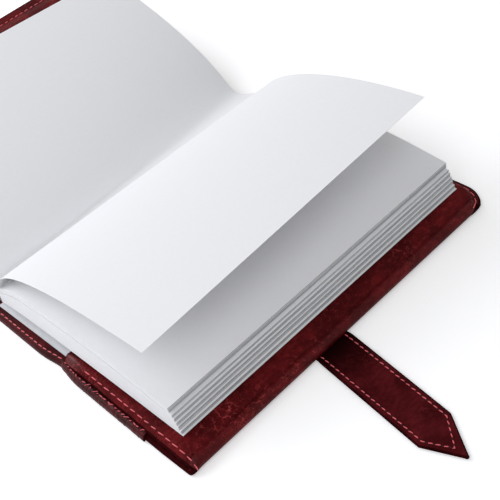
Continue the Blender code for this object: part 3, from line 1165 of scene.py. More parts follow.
    def panel_sheet(self, columns: Array, rows: Array) -> tuple[Array, Array]:
        """Middle surface and thickness of the panel, which leaves room for the strap's root below it.

        Args:
            columns: distances from the fold line, per row or the same for all rows.
            rows: shares of the half length, as a column.

        Returns:
            The grid of points in the flat layout, and the thickness at each.
        """
        layout = self.layout
        reach = np.broadcast_to(columns, (len(rows), columns.shape[-1]))
        y = rows * self.panel_outline(reach, rows)
        thickness = np.full(reach.shape, layout.leather)
        low = np.zeros(reach.shape)
        if self.side is Side.BACK:
            root_low, root_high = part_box("strap_root")
            beside = np.minimum(y - root_low.y, root_high.y - y) + self.recess_room
            behind = layout.back_x + reach - root_low.x + self.recess_before
            low = self.recess_depth * smooth(beside / self.recess_slope) * smooth(behind / self.recess_ramp)
        return points_of(reach, y, (low + thickness) / 2), thickness - low

    def flap_sheet(self, reach: Array, rows: Array) -> tuple[Array, Array]:
        """Middle surface of the flap.

        Args:
            reach: distances from the fold line.
            rows: shares of the half length, as a column.

        Returns:
            The grid of points in the flat layout, and their marks: clear coat above 0, and below 0 painted
            shade along the crease inside the fore-edge roll.
        """
        y = rows * self.flap_outline(reach, rows)
        fore = self.width - reach
        shine = 0.9 * self.puff(reach, y) + 0.25 * hump(fore, 0.0030, 0.002)
        # Painted shade: below 0 the mark darkens the leather's colour along the crease inside the fore-edge
        # roll.
        shine = shine - 0.45 * hump(fore, self.crease_inset, 0.0013)
        return points_of(reach, y, self.flap_top(reach, y) - self.flap_thickness / 2), shine

    def folded_sheet(self) -> tuple[Array, Array, Array]:
        """The back half as one sheet: panel, fore-edge roll and flap.

        Returns:
            Middle surface in the flat layout, thickness, and marks: clear coat above 0, painted shade in the
            crease below 0.
        """
        width, leather = self.width, self.layout.leather
        rows = self.rows()
        near = width - self.roll_inset
        roll = self.flap_top(near, rows * self.flap_outline(near, rows)) / 2
        fixed = self.panel_columns(width - 0.0042)
        columns = np.hstack([np.broadcast_to(fixed, (len(rows), len(fixed))), width - roll])
        panel, panel_thickness = self.panel_sheet(columns, rows)

        share = np.linspace(0.0, 1.0, self.roll_steps)[None, 1:-1]
        angle = (share - 0.5) * math.pi
        roll_thickness = leather + (self.flap_thickness - leather) * share
        outer = width - roll + roll * np.cos(angle)
        lower, upper = self.panel_outline(outer, rows), self.flap_outline(outer, rows)
        outline = lower + (upper - lower) * smooth(share)
        radius = roll - roll_thickness / 2
        turned = points_of(width - roll + radius * np.cos(angle), rows * outline,
                           roll + radius * np.sin(angle))

        back = stations(0.0036, (0.0095, 0.0005), (0.018, 0.0014), (0.094, 0.005),
                        (width - self.flap_start, 0.0007))
        flap, flap_gloss_and_shade = self.flap_sheet((width - back)[None, :], rows)
        shine = np.hstack([np.zeros(panel.shape[:2]), np.full(turned.shape[:2], self.roll_shine), flap_gloss_and_shade])
        thickness = np.hstack([panel_thickness, np.broadcast_to(roll_thickness, turned.shape[:2]),
                               np.full(flap.shape[:2], self.flap_thickness)])
        return np.concatenate([panel, turned, flap], axis=1), thickness, shine

    def build_back_cover(self) -> None:
        """Makes the back half with its flap and half of the spine."""
        shell = Shell()
        middle, thickness, shine = self.folded_sheet()
        shell.add_sheet(self.layout.place(self.side, middle), thickness, shine, square_end=True)
        nodes = ("back_panel", "back_flap", "spine_panel")
        cover = shell.piece("back_cover", "leather", nodes, COVER_LEATHER, CUT_LEATHER)
        bend_round(cover)

    def build_front_cover(self) -> None:
        """Makes the front panel with half of the spine, and the flap sewn on it."""
        layout = self.layout
        rows = self.rows()
        start = self.width - self.front_corner
        corner = self.width - self.front_corner * (1.0 - np.sin(np.linspace(0.0, math.pi / 2, 9)[1:]))
        columns = np.concatenate([self.panel_columns(start), corner])
        panel, thickness = self.panel_sheet(columns[None, :], rows)
        shell = Shell()
        shell.add_sheet(layout.place(self.side, panel), thickness, 0.05, square_end=True)
        cover = shell.piece("front_cover", "leather", ("front_panel",), COVER_LEATHER, CUT_LEATHER)
        bend_round(cover)

        fixed = stations(self.flap_start, (self.flap_start + 0.004, 0.001), (0.150, 0.006),
                         (start - 0.001, 0.002))
        corner = self.width - self.front_corner * (1.0 - np.sin(np.linspace(0.0, math.pi / 2, 17)))
        sheet, _ = self.flap_sheet(np.concatenate([fixed, corner])[None, :], rows)
        shell = Shell()
        shell.add_sheet(layout.place(self.side, sheet), self.flap_thickness)
        flap = shell.piece("front_pocket", "leather", ("front_flap",), COVER_LEATHER, CUT_LEATHER)
        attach(flap, "front")

    def flap_line(self, end: End) -> Array:
        """Sewing line of the flap along one end.

        Args:
            end: tail or head.

        Returns:
            Points as distance along the flap from its inner edge, and Y: behind they go over the fore-edge
            roll, in front they turn the corner.
        """
        last = self.width - self.flap_start
        first = self.puff_length + self.seam_after_puff
        if self.side is Side.BACK and end is End.TAIL:
            along = np.linspace(first, last + 0.0022, 60)
            half = self.flap_outline(np.minimum(self.flap_start + along, self.width - self.tail_corner), -1.0)
            out = 0.0010 * smooth((along - along[-1] + 0.010) / 0.010)
            return points_of(along, self.tail_inset - self.flap_thickness / 2 - half - out)
        radius, stop = self.head_corner - self.head_inset, 1.40
        if self.side is Side.FRONT:
            first, radius, stop = 0.002, 0.0045, math.pi / 2
            last = last - self.front_inset
        edge = float(self.flap_outline(self.width - 0.03, end.value)) + self.flap_thickness / 2
        edge = edge - float(self.inset(end.value))
        turn = math.pi / 2 - np.linspace(0.0, stop, 14)
        arc = points_of(last - radius + radius * np.cos(turn),
                        end.value * (edge - radius + radius * np.sin(turn)))
        return np.vstack([[first, arc[0, 1]], arc])

    def flap_surface(self, along: Array, y: Array) -> Array:
        """Points of the flap's outer surface, which goes on round the fore-edge roll behind.

        Args:
            along: distance along the flap from its inner edge.
            y: place along the spine.

        Returns:
            Points in the flat layout.
        """
        reach = self.flap_start + along
        height = self.flap_top(reach, y)
        if self.side is Side.BACK:
            roll = self.flap_top(self.width - self.roll_inset, y) / 2
            turn = np.maximum(0.0, reach - self.width + roll) / roll
            height = np.where(turn > 0.0, roll + roll * np.cos(turn), height)
            reach = np.where(turn > 0.0, self.width - roll + roll * np.sin(turn), reach)
        return points_of(reach, y, height)

    def sew_flap(self, row: Stitches, line: Array, name: str, node: str) -> None:
        """Sews one row along a line on the flap.

        Args:
            row: the stitches.
            line: points as distance along the flap from its inner edge, and Y.
            name: the new piece's name.
            node: the CAD node it stands for.
        """
        layout, surface = self.layout, self.flap_surface
        along, y = resample(line, 0.0008).T
        ahead = surface(along + PROBE, y) - surface(along - PROBE, y)
        normal = unit(np.cross(ahead, surface(along, y + PROBE) - surface(along, y - PROBE)))
        flat = surface(along, y)
        place = layout.place(self.side, flat)
        shell = Shell()
        row.sew(shell, place, unit(layout.place(self.side, flat + normal * PROBE) - place))
        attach(shell.seam(name, node), self.side.value)

    def build_flap_sewing(self) -> None:
        """Sews the flap: tail and head behind, all three sides in front."""
        if self.side is Side.FRONT:
            line = np.vstack([self.flap_line(End.TAIL), self.flap_line(End.HEAD)[::-1]])
            self.sew_flap(Seam.FRONT_FLAP.row(9), line, "front_flap_stitches", "front_flap_seam")
            return
        for end in End:
            names = ("back_flap_stitches_" + end.word, "back_flap_seam_" + end.word)
            self.sew_flap(Seam.BACK_FLAP.row(5 + end.value), self.flap_line(end), *names)

    def crumpled(self, reach: Array) -> Array:
        """1 on the narrow, crumpled stretch of a hem beside the flap, 0 before it."""
        return smooth((reach - self.flap_start + 0.002) / 0.003)

    def hem_place(self, reach: Array, across: Array, end: End) -> Array:
        """Outer surface of a hem, which turns down over the cover's edge.

        Args:
            reach: distances from the fold line.
            across: 0 at the hem's inner edge, 1 at the foot of the turned edge.
            end: tail or head.

        Returns:
            Points in the flat layout.
        """
        layout = self.layout
        crumple = self.crumpled(reach)
        edge = self.panel_outline(reach, end.value) + layout.leather / 2 + self.rim_gap
        edge = edge + self.crumple_out * crumple
        inner = layout.hem_half - self.hem_width - layout.drawn_in(reach, end.value)
        beside = self.flap_outline(reach, end.value) + self.flap_thickness / 2 + 0.0002
        inner = inner + (np.minimum(beside, edge - self.hem_round - self.rim_gap) - inner) * crumple
        y, drop = turned_edge(across, inner, edge, self.hem_round, layout.hem_top - self.hem_foot)
        height = layout.hem_top - self.hem_lip * smooth((0.1 - across) / 0.1) - drop
        spot = points_of(reach, y, 0.1 * end.value)
        folds = ripple(spot * np.array([1.0, 0.6, 1.0]), self.fold_wavelength, 3.0)
        creases = np.abs(ripple(spot, self.crumple_wavelength, 11.0))
        sway = ripple(spot, self.crumple_wavelength, 23.0) * smooth(across / 0.6)
        swell = self.fold_height * folds - self.crumple_crease * creases + self.crumple_lift
        height = height + crumple * swell
        height = height + (1.0 - crumple) * self.hem_wave * ripple(spot, self.hem_wavelength, 7.0)
        y = y + crumple * self.crumple_sway * sway
        return points_of(reach, end.value * y, np.maximum(height, 0.0006))

    def build_hem(self, end: End) -> None:
        """Makes the turned-in hem of one end, with its sewing: tidy at first, messy beside the flap.

        Args:
            end: tail or head.
        """
        layout, side = self.layout, self.side
        name = side.value + "_hem_" + end.word
        torn = side is Side.BACK and end is End.TAIL
        last = self.torn_reach if torn else layout.hem_end
        columns = stations(layout.hem_start, (self.flap_start - 0.004, 0.0020), (last, 0.0005))
        reach, share = np.meshgrid(columns, np.linspace(0.0, 1.0, 15), indexing="ij")
        shell = Shell()
        top = layout.place(side, self.hem_place(reach, share, end))
        shell.add_skin(top, self.hem_thickness, 0.05 + 0.3 * self.crumpled(reach))
        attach(shell.piece(name + "_strip", "leather", (name,), HEM_LEATHER, CUT_LEATHER), side.value)

        shell = Shell()
        tidy, messy = Seam.HEM.row(20 + end.value), Seam.CRUMPLED_HEM.row(30 + end.value)
        for row, start, stop, place in ((tidy, layout.hem_start + 0.001, self.flap_start - 0.002, 0.50),
                                        (messy, self.flap_start, last - 0.001, 0.36)):
            along = np.arange(start, stop, 0.0008)
            flat = self.hem_place(along, np.full(len(along), place), end)
            spot = layout.place(side, flat)
            row.sew(shell, spot, unit(layout.place(side, flat + PROBE * np.array(UP)) - spot))
        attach(shell.seam(name + "_stitches", side.value + "_hem_seam_" + end.word), side.value)
        if torn:
            self.build_pocket_mouth(end)

    def build_pocket_mouth(self, end: End) -> None:
        """Makes the raw inner leather that shows between panel and flap past the torn end of the hem; its
        near-black colour also paints the shade inside the pocket's opening.

        Args:
            end: the end with the torn hem.
        """
        low = self.layout.leather
        columns = stations(self.torn_reach - 0.001, (self.width - 0.004, 0.0006))
        reach, share = np.meshgrid(columns, np.linspace(0.0, 1.0, 9), indexing="ij")
        inner = self.flap_outline(reach, end.value) - 0.0006
        y = inner + (np.maximum(self.panel_outline(reach, end.value), inner) + 0.0002 - inner) * share
        wave = self.mouth_wave * ripple(points_of(reach, y, 0.0), self.mouth_wavelength, 5.0)
        height = low + self.mouth_lift + wave * (1.0 - 0.6 * share)
        top = points_of(reach, end.value * y, np.maximum(height, low + 0.00005))
        shell = Shell()
        shell.add_skin(self.layout.place(self.side, top), self.mouth_thickness)
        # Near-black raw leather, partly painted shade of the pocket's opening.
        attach(shell.piece("back_pocket_mouth", "leather", (), CUT_LEATHER), "back")

    def build(self) -> None:
        """Makes every piece of this half."""
        if self.side is Side.BACK:
            self.build_back_cover()
        else:
            self.build_front_cover()
        self.build_flap_sewing()
        for end in End:
            self.build_hem(end)


@dataclass
class SpineHems:
    """The turned-in hems of the spine panel, with their sewing."""

    layout: Layout
    thickness: float = 0.0012
    edge_round: float = 0.0024
    foot: float = 0.0008
    overhang: float = 0.0008
    wave: float = 0.00012
    wavelength: float = 0.012
    sewn_row: int = 7

    def build_end(self, end: End) -> None:
        """Makes the hem of one end and sews it.

        Args:
            end: tail or head.
        """
        layout, node = self.layout, "spine_hem_" + end.word
        low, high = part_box(node)
        inner, outer = sorted((abs(low.y), abs(high.y)))
        across, along = np.meshgrid(np.linspace(0.0, 1.0, 11), np.linspace(low.x, high.x, 40), indexing="ij")
        drawn = layout.drawn_in(layout.past_spine(along), end.value)
        y, drop = turned_edge(across, inner - drawn, outer + self.overhang - drawn, self.edge_round,
                              high.z - self.foot)
        top = points_of(along, end.value * y, high.z - drop)
        top[..., 2] += self.wave * ripple(top, self.wavelength, 4.0)
        shell = Shell()
        shell.add_skin(top, self.thickness, 0.05)
        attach(shell.piece(node + "_strip", "leather", (node,), HEM_LEATHER, CUT_LEATHER), "spine")
        shell = Shell()
        line = top[self.sewn_row, 1:-1]
        Seam.HEM.row().sew(shell, line, np.tile(UP, (len(line), 1)))
        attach(shell.seam(node + "_stitches"), "spine")

    def build(self) -> None:
        """Makes both hems."""
        for end in End:
            self.build_end(end)


@dataclass
class PageBlock:
    """The glued block: sections of thin layers with cut, slightly uneven edges."""

    layout: Layout
    fore_gap: float = 0.0010
    fore_thickness: float = 0.0148
    fore_trim: float = 0.0005
    bulge_low: float = 0.0012
    bulge_high: float = 0.0043
    fan_share: float = 0.2
    ledges: tuple = (0.0010, 0.0009, 0.0009, 0.0009, 0.0016, 0.0002)
    lean: float = 0.00015
    layers_per_section: int = 6
    reach_steps: int = 34
    reach_power: float = 1.35
    row_steps: int = 15
    layer_gap: float = 0.000004
    edge_wave: float = 0.00016
    edge_wavelength: float = 0.045
    length_jitter: float = 0.00010
    end_trim: float = 0.00012
    end_jitter: float = 0.00002
    groove: float = 0.0030
    endpaper_shares: tuple = (-0.028, -0.008)
    endpaper_out: float = 0.0012
    endpaper_end: float = 0.0001
    top_gap: float = 0.006
    top_split: tuple = (0.972, 0.974)
    top_out: float = 0.00025
    leaf_gap: float = 0.0008
    squash_keep: float = 0.74

    def __post_init__(self) -> None:
        """Reads the block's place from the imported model."""
        low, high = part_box("page_section_1")
        self.block_x, self.page_half = low.x, high.y
        self.page_width = high.x - low.x
        lining_low, lining_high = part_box("spine_lining")
        self.binding_low, self.binding_high = lining_low.z, lining_high.z
        self.fore_low = self.layout.flap_top + self.fore_gap
        self.top_share = (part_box("top_leaves")[0].z - lining_low.z) / (lining_high.z - lining_low.z)

    @property
    def leaf_root(self) -> Array:
        """Middle of the line on the block's back where the free leaves start."""
        return np.array([self.block_x, 0.0, self.binding_high + self.leaf_gap])

    def height(self, share: Number, reach: Number) -> Number:
        """Height of a page.

        Args:
            share: how far up the block it lies.
            reach: distance from the binding.

        Returns:
            The page's height there.
        """
        along = np.minimum(1.0, reach / self.page_width)
        binding = self.binding_low + share * (self.binding_high - self.binding_low)
        fore = self.fore_low + share * self.fore_thickness
        fan = 1.0 - (1.0 - np.minimum(1.0, along / self.fan_share)) ** 2
        bulge = np.sin(math.pi * along) * (self.bulge_low + share * self.bulge_high)
        return binding + (fore - binding) * fan + bulge

    def length(self, share: float) -> float:
        """How far the pages reach, with a ledge on top of each section.

        Args:
            share: how far up the block they lie.

        Returns:
            Their length from the binding.
        """
        section = share / self.top_share * len(self.ledges)
        below = min(len(self.ledges), max(0, int(section)))
        return self.page_width - self.fore_trim - sum(self.ledges[:below]) + self.lean * (section - below)

    def add_layer(self, shell: Shell, low: float, high: float, length: float, half: float, seed: int) -> None:
        """Adds one layer of pages as a closed body.

        Args:
            shell: what it is added to.
            low: share of the block at its underside.
            high: share at its top.
            length: how far it reaches from the binding.
            half: half of its length along the spine.
            seed: sets its own unevenness.
        """
        steps = np.linspace(0.0, 1.0, self.reach_steps) ** self.reach_power
        rows = np.linspace(-half, half, self.row_steps)
        wave = self.edge_wave * ripple(points_of(seed * 0.37, rows, 0.0), self.edge_wavelength, seed * 1.7)
        reach = steps[None, :] * (length + wave)[:, None]
        under, over = (shell.add_points(points_of(self.block_x + reach, rows[:, None],
                                                  self.height(share, reach) + gap), share)
                       for share, gap in ((low, self.layer_gap), (high, -self.layer_gap)))
        shell.add_quads(under)
        shell.add_quads(over)
        for side, surface in ((0, Surface.EDGE), (-1, Surface.FORE)):
            shell.add_quads(np.array([under[:, side], over[:, side]]), False, surface)
            shell.add_quads(np.array([under[side], over[side]]), False, Surface.EDGE)

    def finish_piece(self, shell: Shell, name: str, node: str) -> None:
        """Makes a piece of pages and hangs it on the back body.

        Args:
            shell: the piece's layers.
            name: the piece's name.
            node: the CAD node it stands for.
        """
        # The fore faces take the darker copy of the page edges, which is painted shade.
        item = shell.piece(name, "paper", (node,), PAPER, PAGE_EDGE, SHADED_FORE_EDGE, sharp=35.0)
        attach(item, "back")
        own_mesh(item)

    def build(self) -> None:
        """Makes the endpaper, the sections and the top leaves."""
        chance = np.random.default_rng(7)
        shell = Shell()
        length, half = self.length(0.0) + self.endpaper_out, self.page_half + self.endpaper_end
        self.add_layer(shell, *self.endpaper_shares, length, half, 3)
        self.finish_piece(shell, "back_endpaper_leaf", "back_endpaper")
        sections = len(self.ledges)
        seed = 10
        for section in range(sections):
            shell = Shell()
            edges = self.top_share * (section + np.linspace(0.0, 1.0, self.layers_per_section + 1)) / sections
            for low, high in zip(edges, edges[1:]):
                seed += 1
                jitter = chance.normal(0.0, 1.0, 2)
                groove = self.groove if section == sections - 2 and high >= edges[-2] else 0.0
                length = self.length((low + high) / 2) + self.length_jitter * jitter[0] - groove
                half = self.page_half - self.end_trim + self.end_jitter * jitter[1] - groove
                self.add_layer(shell, low, high, length, half, seed)
            node = "page_section_%d" % (section + 1)
            self.finish_piece(shell, node + "_layers", node)
        shell = Shell()
        first, second = self.top_split
        for low, high, out in ((self.top_share + self.top_gap, first, 0.0), (second, 1.0, self.top_out)):
            seed += 1
            self.add_layer(shell, low, high, self.length(high) + out, self.page_half + out * 0.5, seed)
        self.finish_piece(shell, "top_leaves_layers", "top_leaves")


@dataclass
class FreeLeaf:
    """A single leaf that stands free of the block, from its tail curve to its head curve."""

    block: PageBlock
    name: str
    body: str
    tail: Sequence[tuple[float, float]]
    head: Sequence[tuple[float, float]]
    first: float = 0.0
    last: float = 1.0
    keep_tail: float = 1.0
    thickness: float = 0.00018
    end_trim: float = 0.0003
    curve_steps: int = 64
    row_steps: int = 40

    def points(self, shares: Array, rows: Array) -> Array:
        """The leaf's middle surface.

        Args:
            shares: parameters along the curve from the binding.
            rows: 0 at the tail, 1 at the head.

        Returns:
            A grid of points, row by row.
        """
        block = self.block
        late = rows ** self.keep_tail
        toward = points_of(rows, late, late, rows)[..., None]
        controls = (1 - toward) * np.array(self.tail) + toward * np.array(self.head)
        share = shares[None, :, None]
        weights = ((1 - share) ** 3, 3 * share * (1 - share) ** 2, 3 * share ** 2 * (1 - share), share ** 3)
        curve = sum(weight * controls[:, None, number, :] for number, weight in enumerate(weights))
        x, _, z = block.leaf_root
        y = (2 * rows - 1)[:, None] * (block.page_half - self.end_trim)
        return points_of(x + curve[..., 0] * block.page_width, y, z + curve[..., 1] * block.page_width)

    def build(self, node: str) -> Item:
        """Makes the leaf in place of its node.

        Args:
            node: the CAD node it stands for.

        Returns:
            The leaf, riding on its body.
        """
        count = max(4, round(self.curve_steps * (self.last - self.first)))
        grid = self.points(np.linspace(self.first, self.last, count), np.linspace(0.0, 1.0, self.row_steps))
        shell = Shell()
        shell.add_sheet(grid, self.thickness, rim_steps=2)
        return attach(shell.piece(self.name, "paper", (node,), PAPER, sharp=30.0), self.body)


@dataclass
class Leaves:
    """The lifted leaf on its glued stub, and the leaf turned to the left."""

    block: PageBlock
    lifted_tail: tuple = ((0.0034, 0.0), (0.068, 0.176), (0.405, 0.270), (0.919, 0.291))
    lifted_head: tuple = ((0.0034, 0.0), (0.068, 0.149), (0.405, 0.284), (0.878, 0.324))
    left_tail: tuple = ((-0.0080, 0.0), (-0.180, -0.046), (0.242, 0.077), (-0.912, 0.373))
    left_head: tuple = ((-0.0080, 0.0), (-0.356, -0.176), (0.018, 0.038), (-0.936, 0.291))
    left_keep: float = 1.73
    stub_width: float = 0.005
    pressed_lifted: float = 0.31
    lifted_tilt: float = 0.07
    pressed_left: float = 0.02
    left_fold: float = 21.5
    left_room: float = 0.0070

    def build(self) -> None:
        block = self.block
        width, length = block.page_width, 2 * block.page_half
        stub_share = self.stub_width / width
        curves = (self.lifted_tail, self.lifted_head)
        stub = FreeLeaf(block, "lifted_leaf_stub", "back", *curves, 0.0, stub_share)
        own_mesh(stub.build("leaf_stub"))
        leaf = FreeLeaf(block, "lifted_page", "lifted_leaf", *curves, stub_share).build("lifted_leaf")
        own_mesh(leaf)
        curves = (self.left_tail, self.left_head)
        leaf = FreeLeaf(block, "left_page", "left_leaf", *curves, keep_tail=self.left_keep).build("left_leaf")
        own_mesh(leaf)


@dataclass
class InsertCards:
    """The insert's spine card, and its boards, front endpaper and back lining as dressed solids."""

    layout: Layout
    card_rounding: float = 0.00035
    paper_rounding: float = 0.0001

    def build_spine_card(self) -> None:
        """Makes the dark card along the spine, cut back at its ends like the leather below it."""
        layout = self.layout
        low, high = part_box("insert_spine")
        x, way = np.meshgrid(np.linspace(low.x, high.x, 17), np.linspace(-1.0, 1.0, 32))
        y = way * (high.y - layout.drawn_in(layout.past_spine(x), way))
        shell = Shell()
        shell.add_sheet(points_of(x, y, (low.z + high.z) / 2), high.z - low.z)
        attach(shell.piece("insert_spine_strip", "spine_card", ("insert_spine",), SPINE_CARD), "spine")

    def build(self) -> None:
        """Makes the spine card, and gives each solid its finish and softened edges."""
        self.build_spine_card()
        for node, finish, rounding in (("back_board", BOARD_CARD, self.card_rounding),
                                       ("front_board", BOARD_CARD, self.card_rounding),
                                       ("front_endpaper", PAPER, self.paper_rounding),
                                       ("spine_lining", GAUZE, self.card_rounding)):
            item = frame["nodes"][node]
            item.data.materials.clear()
            item.data.materials.append(finish.material())
            bevel = item.modifiers.new("soft_edges", "BEVEL")
            bevel.width = rounding
            bevel.segments = 2
            LOG.info("dressed %s", node)


@dataclass
class ClosingStrap:
    """The pointed strap: its root under the back cover, the riser and the tongue, sewn along the edges."""

    drift: float = 0.0130
    point: float = 0.0205
    tip_share: float = 0.02
    seam_inset: float = 0.0030
    seam_start: float = 0.0012
    groove_depth: float = 0.00014
    groove_width: float = 0.0006
    crown: float = 0.00012
    crown_slope: float = 0.004
    rise_before: float = 0.0045
    rise_length: float = 0.008
    floor_gap: float = 0.00005
    bend: float = 0.0045
    root_shade_length: float = 0.028

    def __post_init__(self) -> None:
        """Reads the strap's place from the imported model."""
        self.lift_x, self.wrap_x = (joint(name)["pos_m"][0] for name in ("strap_lift", "strap_wrap"))
        low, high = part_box("strap_root")
        self.root_x = low.x
        self.middle_y, self.width = (low.y + high.y) / 2, high.y - low.y
        self.root_low, self.root_high = low.z, high.z
        self.tip_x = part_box("strap_tongue")[1].x
        self.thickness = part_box("strap_riser")[1].z

    def middle(self, x: Number) -> Number:
        """Y of the strap's middle line."""
        return self.middle_y - self.drift * np.maximum(0.0, (x - self.lift_x) / (self.tip_x - self.lift_x))

    def half(self, x: Number) -> Number:
        """Half of the strap's width, with its point."""
        past = (x - (self.tip_x - self.point)) / self.point
        return (self.width - self.thickness) / 2 * np.clip(1.0 - past, self.tip_share, 1.0)

    def risen(self, x: Number) -> Number:
        """0 under the back cover, 1 where the strap has come out of its recess."""
        return smooth((x - self.lift_x + self.rise_before) / self.rise_length)

    def top(self, x: Number, y: Number) -> Number:
        """Height of the strap's upper side.

        Args:
            x: place along the strap.
            y: place across it.

        Returns:
            The height, with a slight crown and a groove along the sewing.
        """
        inside = self.half(x) - np.abs(y - self.middle(x))
        inside = np.minimum(inside, np.maximum(self.tip_x - x, 0.0) * 0.6 + 0.0004)
        out = self.risen(x)
        crown = self.crown * smooth((inside - self.seam_inset) / self.crown_slope)
        groove = self.groove_depth * hump(inside, self.seam_inset, self.groove_width)
        return self.root_high + (self.thickness - self.root_high) * out + out * (crown - groove)

    def strip(self, name: str, stops: Array, nodes: Sequence[str]) -> Item:
        """Makes one stretch of the strap.

        Args:
            name: the piece's name.
            stops: places along X, from the butt joint on.
            nodes: CAD nodes it stands for.

        Returns:
            The new piece.
        """
        half = self.width / 2
        x, share = np.meshgrid(stops, mirrored(stations(0.0, (0.0040, 0.0005), (half, 0.002)) / half))
        y = self.middle(x) + share * self.half(x)
        top = self.top(x, y)
        low = self.root_low * (1.0 - self.risen(x)) + self.floor_gap
        # Painted shadow: the mark falls to -1 at the root, darkening the strap's colour where the back
        # cover's shadow falls on it.
        painted_shade = smooth((x - self.lift_x) / self.root_shade_length) - 1.0
        shell = Shell()
        shell.add_sheet(points_of(x, y, (top + low) / 2), top - low, painted_shade, square_end=True)
        return shell.piece(name, "strap_leather", nodes, STRAP_LEATHER, CUT_LEATHER)

    def sew(self, name: str, line: Sequence[tuple[float, float]], node: str) -> Item:
        """Sews one row on the strap.

        Args:
            name: the piece's name.
            line: X and Y of the row's corners.
            node: the CAD node it stands for.

        Returns:
            The new piece.
        """
        x, y = resample(np.array(line), 0.0007).T
        shell = Shell()
        spots = points_of(x, y, self.top(x, y))
        Seam.STRAP.row(len(name)).sew(shell, spots, np.tile(UP, (len(x), 1)))
        return shell.seam(name, node)

    def build(self) -> None:
        """Makes the strap in two stretches that meet in the riser's middle, and sews it."""
        joint_x = (self.lift_x + self.wrap_x) / 2
        shoulder = self.tip_x - self.point
        near = stations(self.root_x, (self.lift_x - 0.006, 0.004), (joint_x, 0.0010))[::-1]
        far = stations(joint_x, (self.wrap_x + 0.006, 0.0010), (shoulder, 0.0015), (self.tip_x, 0.0008))
        lifted = [self.strip("strap_near", near, ("strap_root",))]
        wrapped = [self.strip("strap_far", far, ("strap_riser", "strap_tongue"))]
        half = self.width / 2 - self.seam_inset
        tip = (self.tip_x - self.seam_inset * self.point / half, float(self.middle(self.tip_x)))
        start = self.lift_x - self.seam_start
        stops = (start, joint_x, shoulder)
        lower, upper = ([(x, self.middle(x) + way * half) for x in stops] for way in (-1, 1))
        for word, line in (("lower", lower), ("upper", upper)):
            lifted.append(self.sew("strap_near_stitches_" + word, line[:2], "strap_riser_seam_" + word))
        wrapped.append(self.sew("strap_far_stitches", [*lower[1:], tip, *upper[:0:-1]], "strap_tongue_seam"))
        for item in lifted:
            bend_round(item)
        for item in wrapped:
            bend_round(item)


@dataclass
class StrapKeeper:
    """The loop on the outside of the front cover that takes the strap's tongue."""

    layout: Layout
    strap: ClosingStrap
    from_edge: float = 0.022
    width: float = 0.012
    thickness: float = 0.0013
    foot: float = 0.007
    foot_gap: float = 0.0003
    foot_seam: float = 0.0025
    side_room: float = 0.0035
    clear_height: float = 0.0038
    corner: float = 0.0011

    def build(self) -> None:
        """Makes the loop with its sewn feet."""
        layout = self.layout
        inner = self.strap.width / 2 + self.side_room
        leg = inner + self.thickness / 2
        foot = inner + self.thickness + self.foot
        flat = -self.foot_gap - self.thickness / 2
        bridge = -self.clear_height - self.thickness / 2
        middle_y = float(self.strap.middle(self.strap.wrap_x + self.from_edge + self.width / 2))
        corners = [(-foot, flat), (-leg, flat), (-leg, bridge), (leg, bridge), (leg, flat), (foot, flat)]
        path = resample(rounded_line(corners, self.corner), 0.0007)
        reach = layout.cover_width - self.from_edge - np.linspace(0.0, self.width, 13)
        grid = points_of(reach, middle_y + path[:, :1], path[:, 1:])
        shell = Shell()
        shell.add_sheet(layout.place(Side.FRONT, grid), self.thickness)
        finishes = (STRAP_LEATHER, CUT_LEATHER)
        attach(shell.piece("strap_keeper_loop", "strap_leather", ("strap_keeper",), *finishes), "front")
        shell = Shell()
        for end in End:
            y = middle_y + end.value * (foot - self.foot_seam)
            line = points_of(reach[1:-1], y, flat - self.thickness / 2)
            spots = layout.place(Side.FRONT, line)
            down = layout.place(Side.FRONT, line - PROBE * np.array(UP))
            Seam.KEEPER.row().sew(shell, spots, unit(down - spots))
        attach(shell.seam("strap_keeper_stitches"), "front")


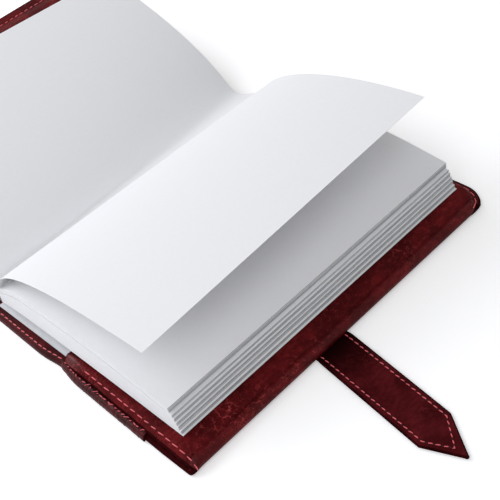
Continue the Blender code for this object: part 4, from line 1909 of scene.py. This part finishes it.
@dataclass
class Studio:
    """White floor, soft light and the camera at the photograph's place."""

    azimuth: float = 52.81
    elevation: float = 43.10
    roll: float = -12.29
    distance: float = 0.59326
    lens: float = 77.08
    sensor: float = 36.0
    target: tuple = (-0.00017, 0.00796, 0.0)
    lamps: tuple = (((-0.60, -0.52, 0.61), 4.6), ((-0.85, -0.10, 0.52), 5.5), ((0.40, -0.60, 0.70), 4.7))
    lamp_distance: float = 1.2
    lamp_size: float = 1.0
    lamp_colour: tuple = (0.985, 0.995, 1.035)
    fill: float = 0.387
    floor_tone: float = 0.95
    floor_glow: float = 0.29
    floor_drop: float = 0.0004
    floor_radius: float = 8.0

    def build_camera(self) -> None:
        """Makes the scene's camera."""
        turn, rise, roll = (math.radians(angle) for angle in (self.azimuth, self.elevation, self.roll))
        back = Vector((math.sin(turn) * math.cos(rise), -math.cos(turn) * math.cos(rise), math.sin(rise)))
        level = Vector((math.cos(turn), math.sin(turn), 0.0))
        upright = back.cross(level)
        right = level * math.cos(roll) + upright * math.sin(roll)
        up = upright * math.cos(roll) - level * math.sin(roll)
        data = bpy.data.cameras.new("camera")
        data.lens = self.lens
        data.sensor_width = self.sensor
        camera = link("camera", data)
        pose = Matrix((right, up, back)).transposed().to_4x4()
        pose.translation = Vector(self.target) + back * self.distance
        camera.matrix_world = pose
        bpy.context.scene.camera = camera

    def build_light(self) -> None:
        """Makes the big soft lamps and the white surroundings."""
        for number, (place, power) in enumerate(self.lamps, 1):
            name = "lamp_%d" % number
            lamp = bpy.data.lights.new(name, "AREA")
            lamp.shape = "DISK"
            lamp.size = self.lamp_size
            lamp.energy = power
            lamp.color = self.lamp_colour
            item = link(name, lamp)
            way = Vector(place).normalized()
            item.location = way * self.lamp_distance
            item.rotation_mode = "QUATERNION"
            item.rotation_quaternion = way.to_track_quat("Z", "Y")
        tree = NodeTree(bpy.data.worlds.new("surroundings"), "Background")
        bpy.context.scene.world = tree.owner
        tree.put(tree.shader.inputs["Color"], (1.0, 1.0, 1.0))
        tree.put(tree.shader.inputs["Strength"], tree.seen(self.fill, 1.0))

    def build_floor(self) -> None:
        """Makes the pale floor, which keeps the notebook's shadow."""
        tree = NodeTree(bpy.data.materials.new("studio_floor"))
        tree.dress((self.floor_tone,) * 3, 0.9, 0.0)
        tree.put(tree.shader.inputs["Emission Color"], (1.0, 1.0, 1.0))
        tree.put(tree.shader.inputs["Emission Strength"], tree.seen(0.0, self.floor_glow))
        mesh = bpy.data.meshes.new("studio_floor")
        solid = bmesh.new()
        bmesh.ops.create_circle(solid, cap_ends=True, segments=64, radius=self.floor_radius)
        solid.to_mesh(mesh)
        solid.free()
        mesh.materials.append(tree.owner)
        floor = link("studio_floor", mesh)
        floor.location.z = -self.floor_drop

    def build(self) -> None:
        """Makes the studio."""
        bpy.context.scene.view_settings.view_transform = "Standard"
        self.build_camera()
        self.build_light()
        self.build_floor()


def main() -> None:
    """Builds the studio and every piece of the notebook, in order."""
    logging.basicConfig(level=logging.INFO, format="%(name)s: %(message)s")
    layout = Layout.read()
    Studio().build()
    for side in Side:
        CoverHalf(layout, side).build()
    SpineHems(layout).build()
    block = PageBlock(layout)
    block.build()
    Leaves(block).build()
    InsertCards(layout).build()
    strap = ClosingStrap()
    strap.build()
    StrapKeeper(layout, strap).build()


if __name__ == "__main__":
    main()
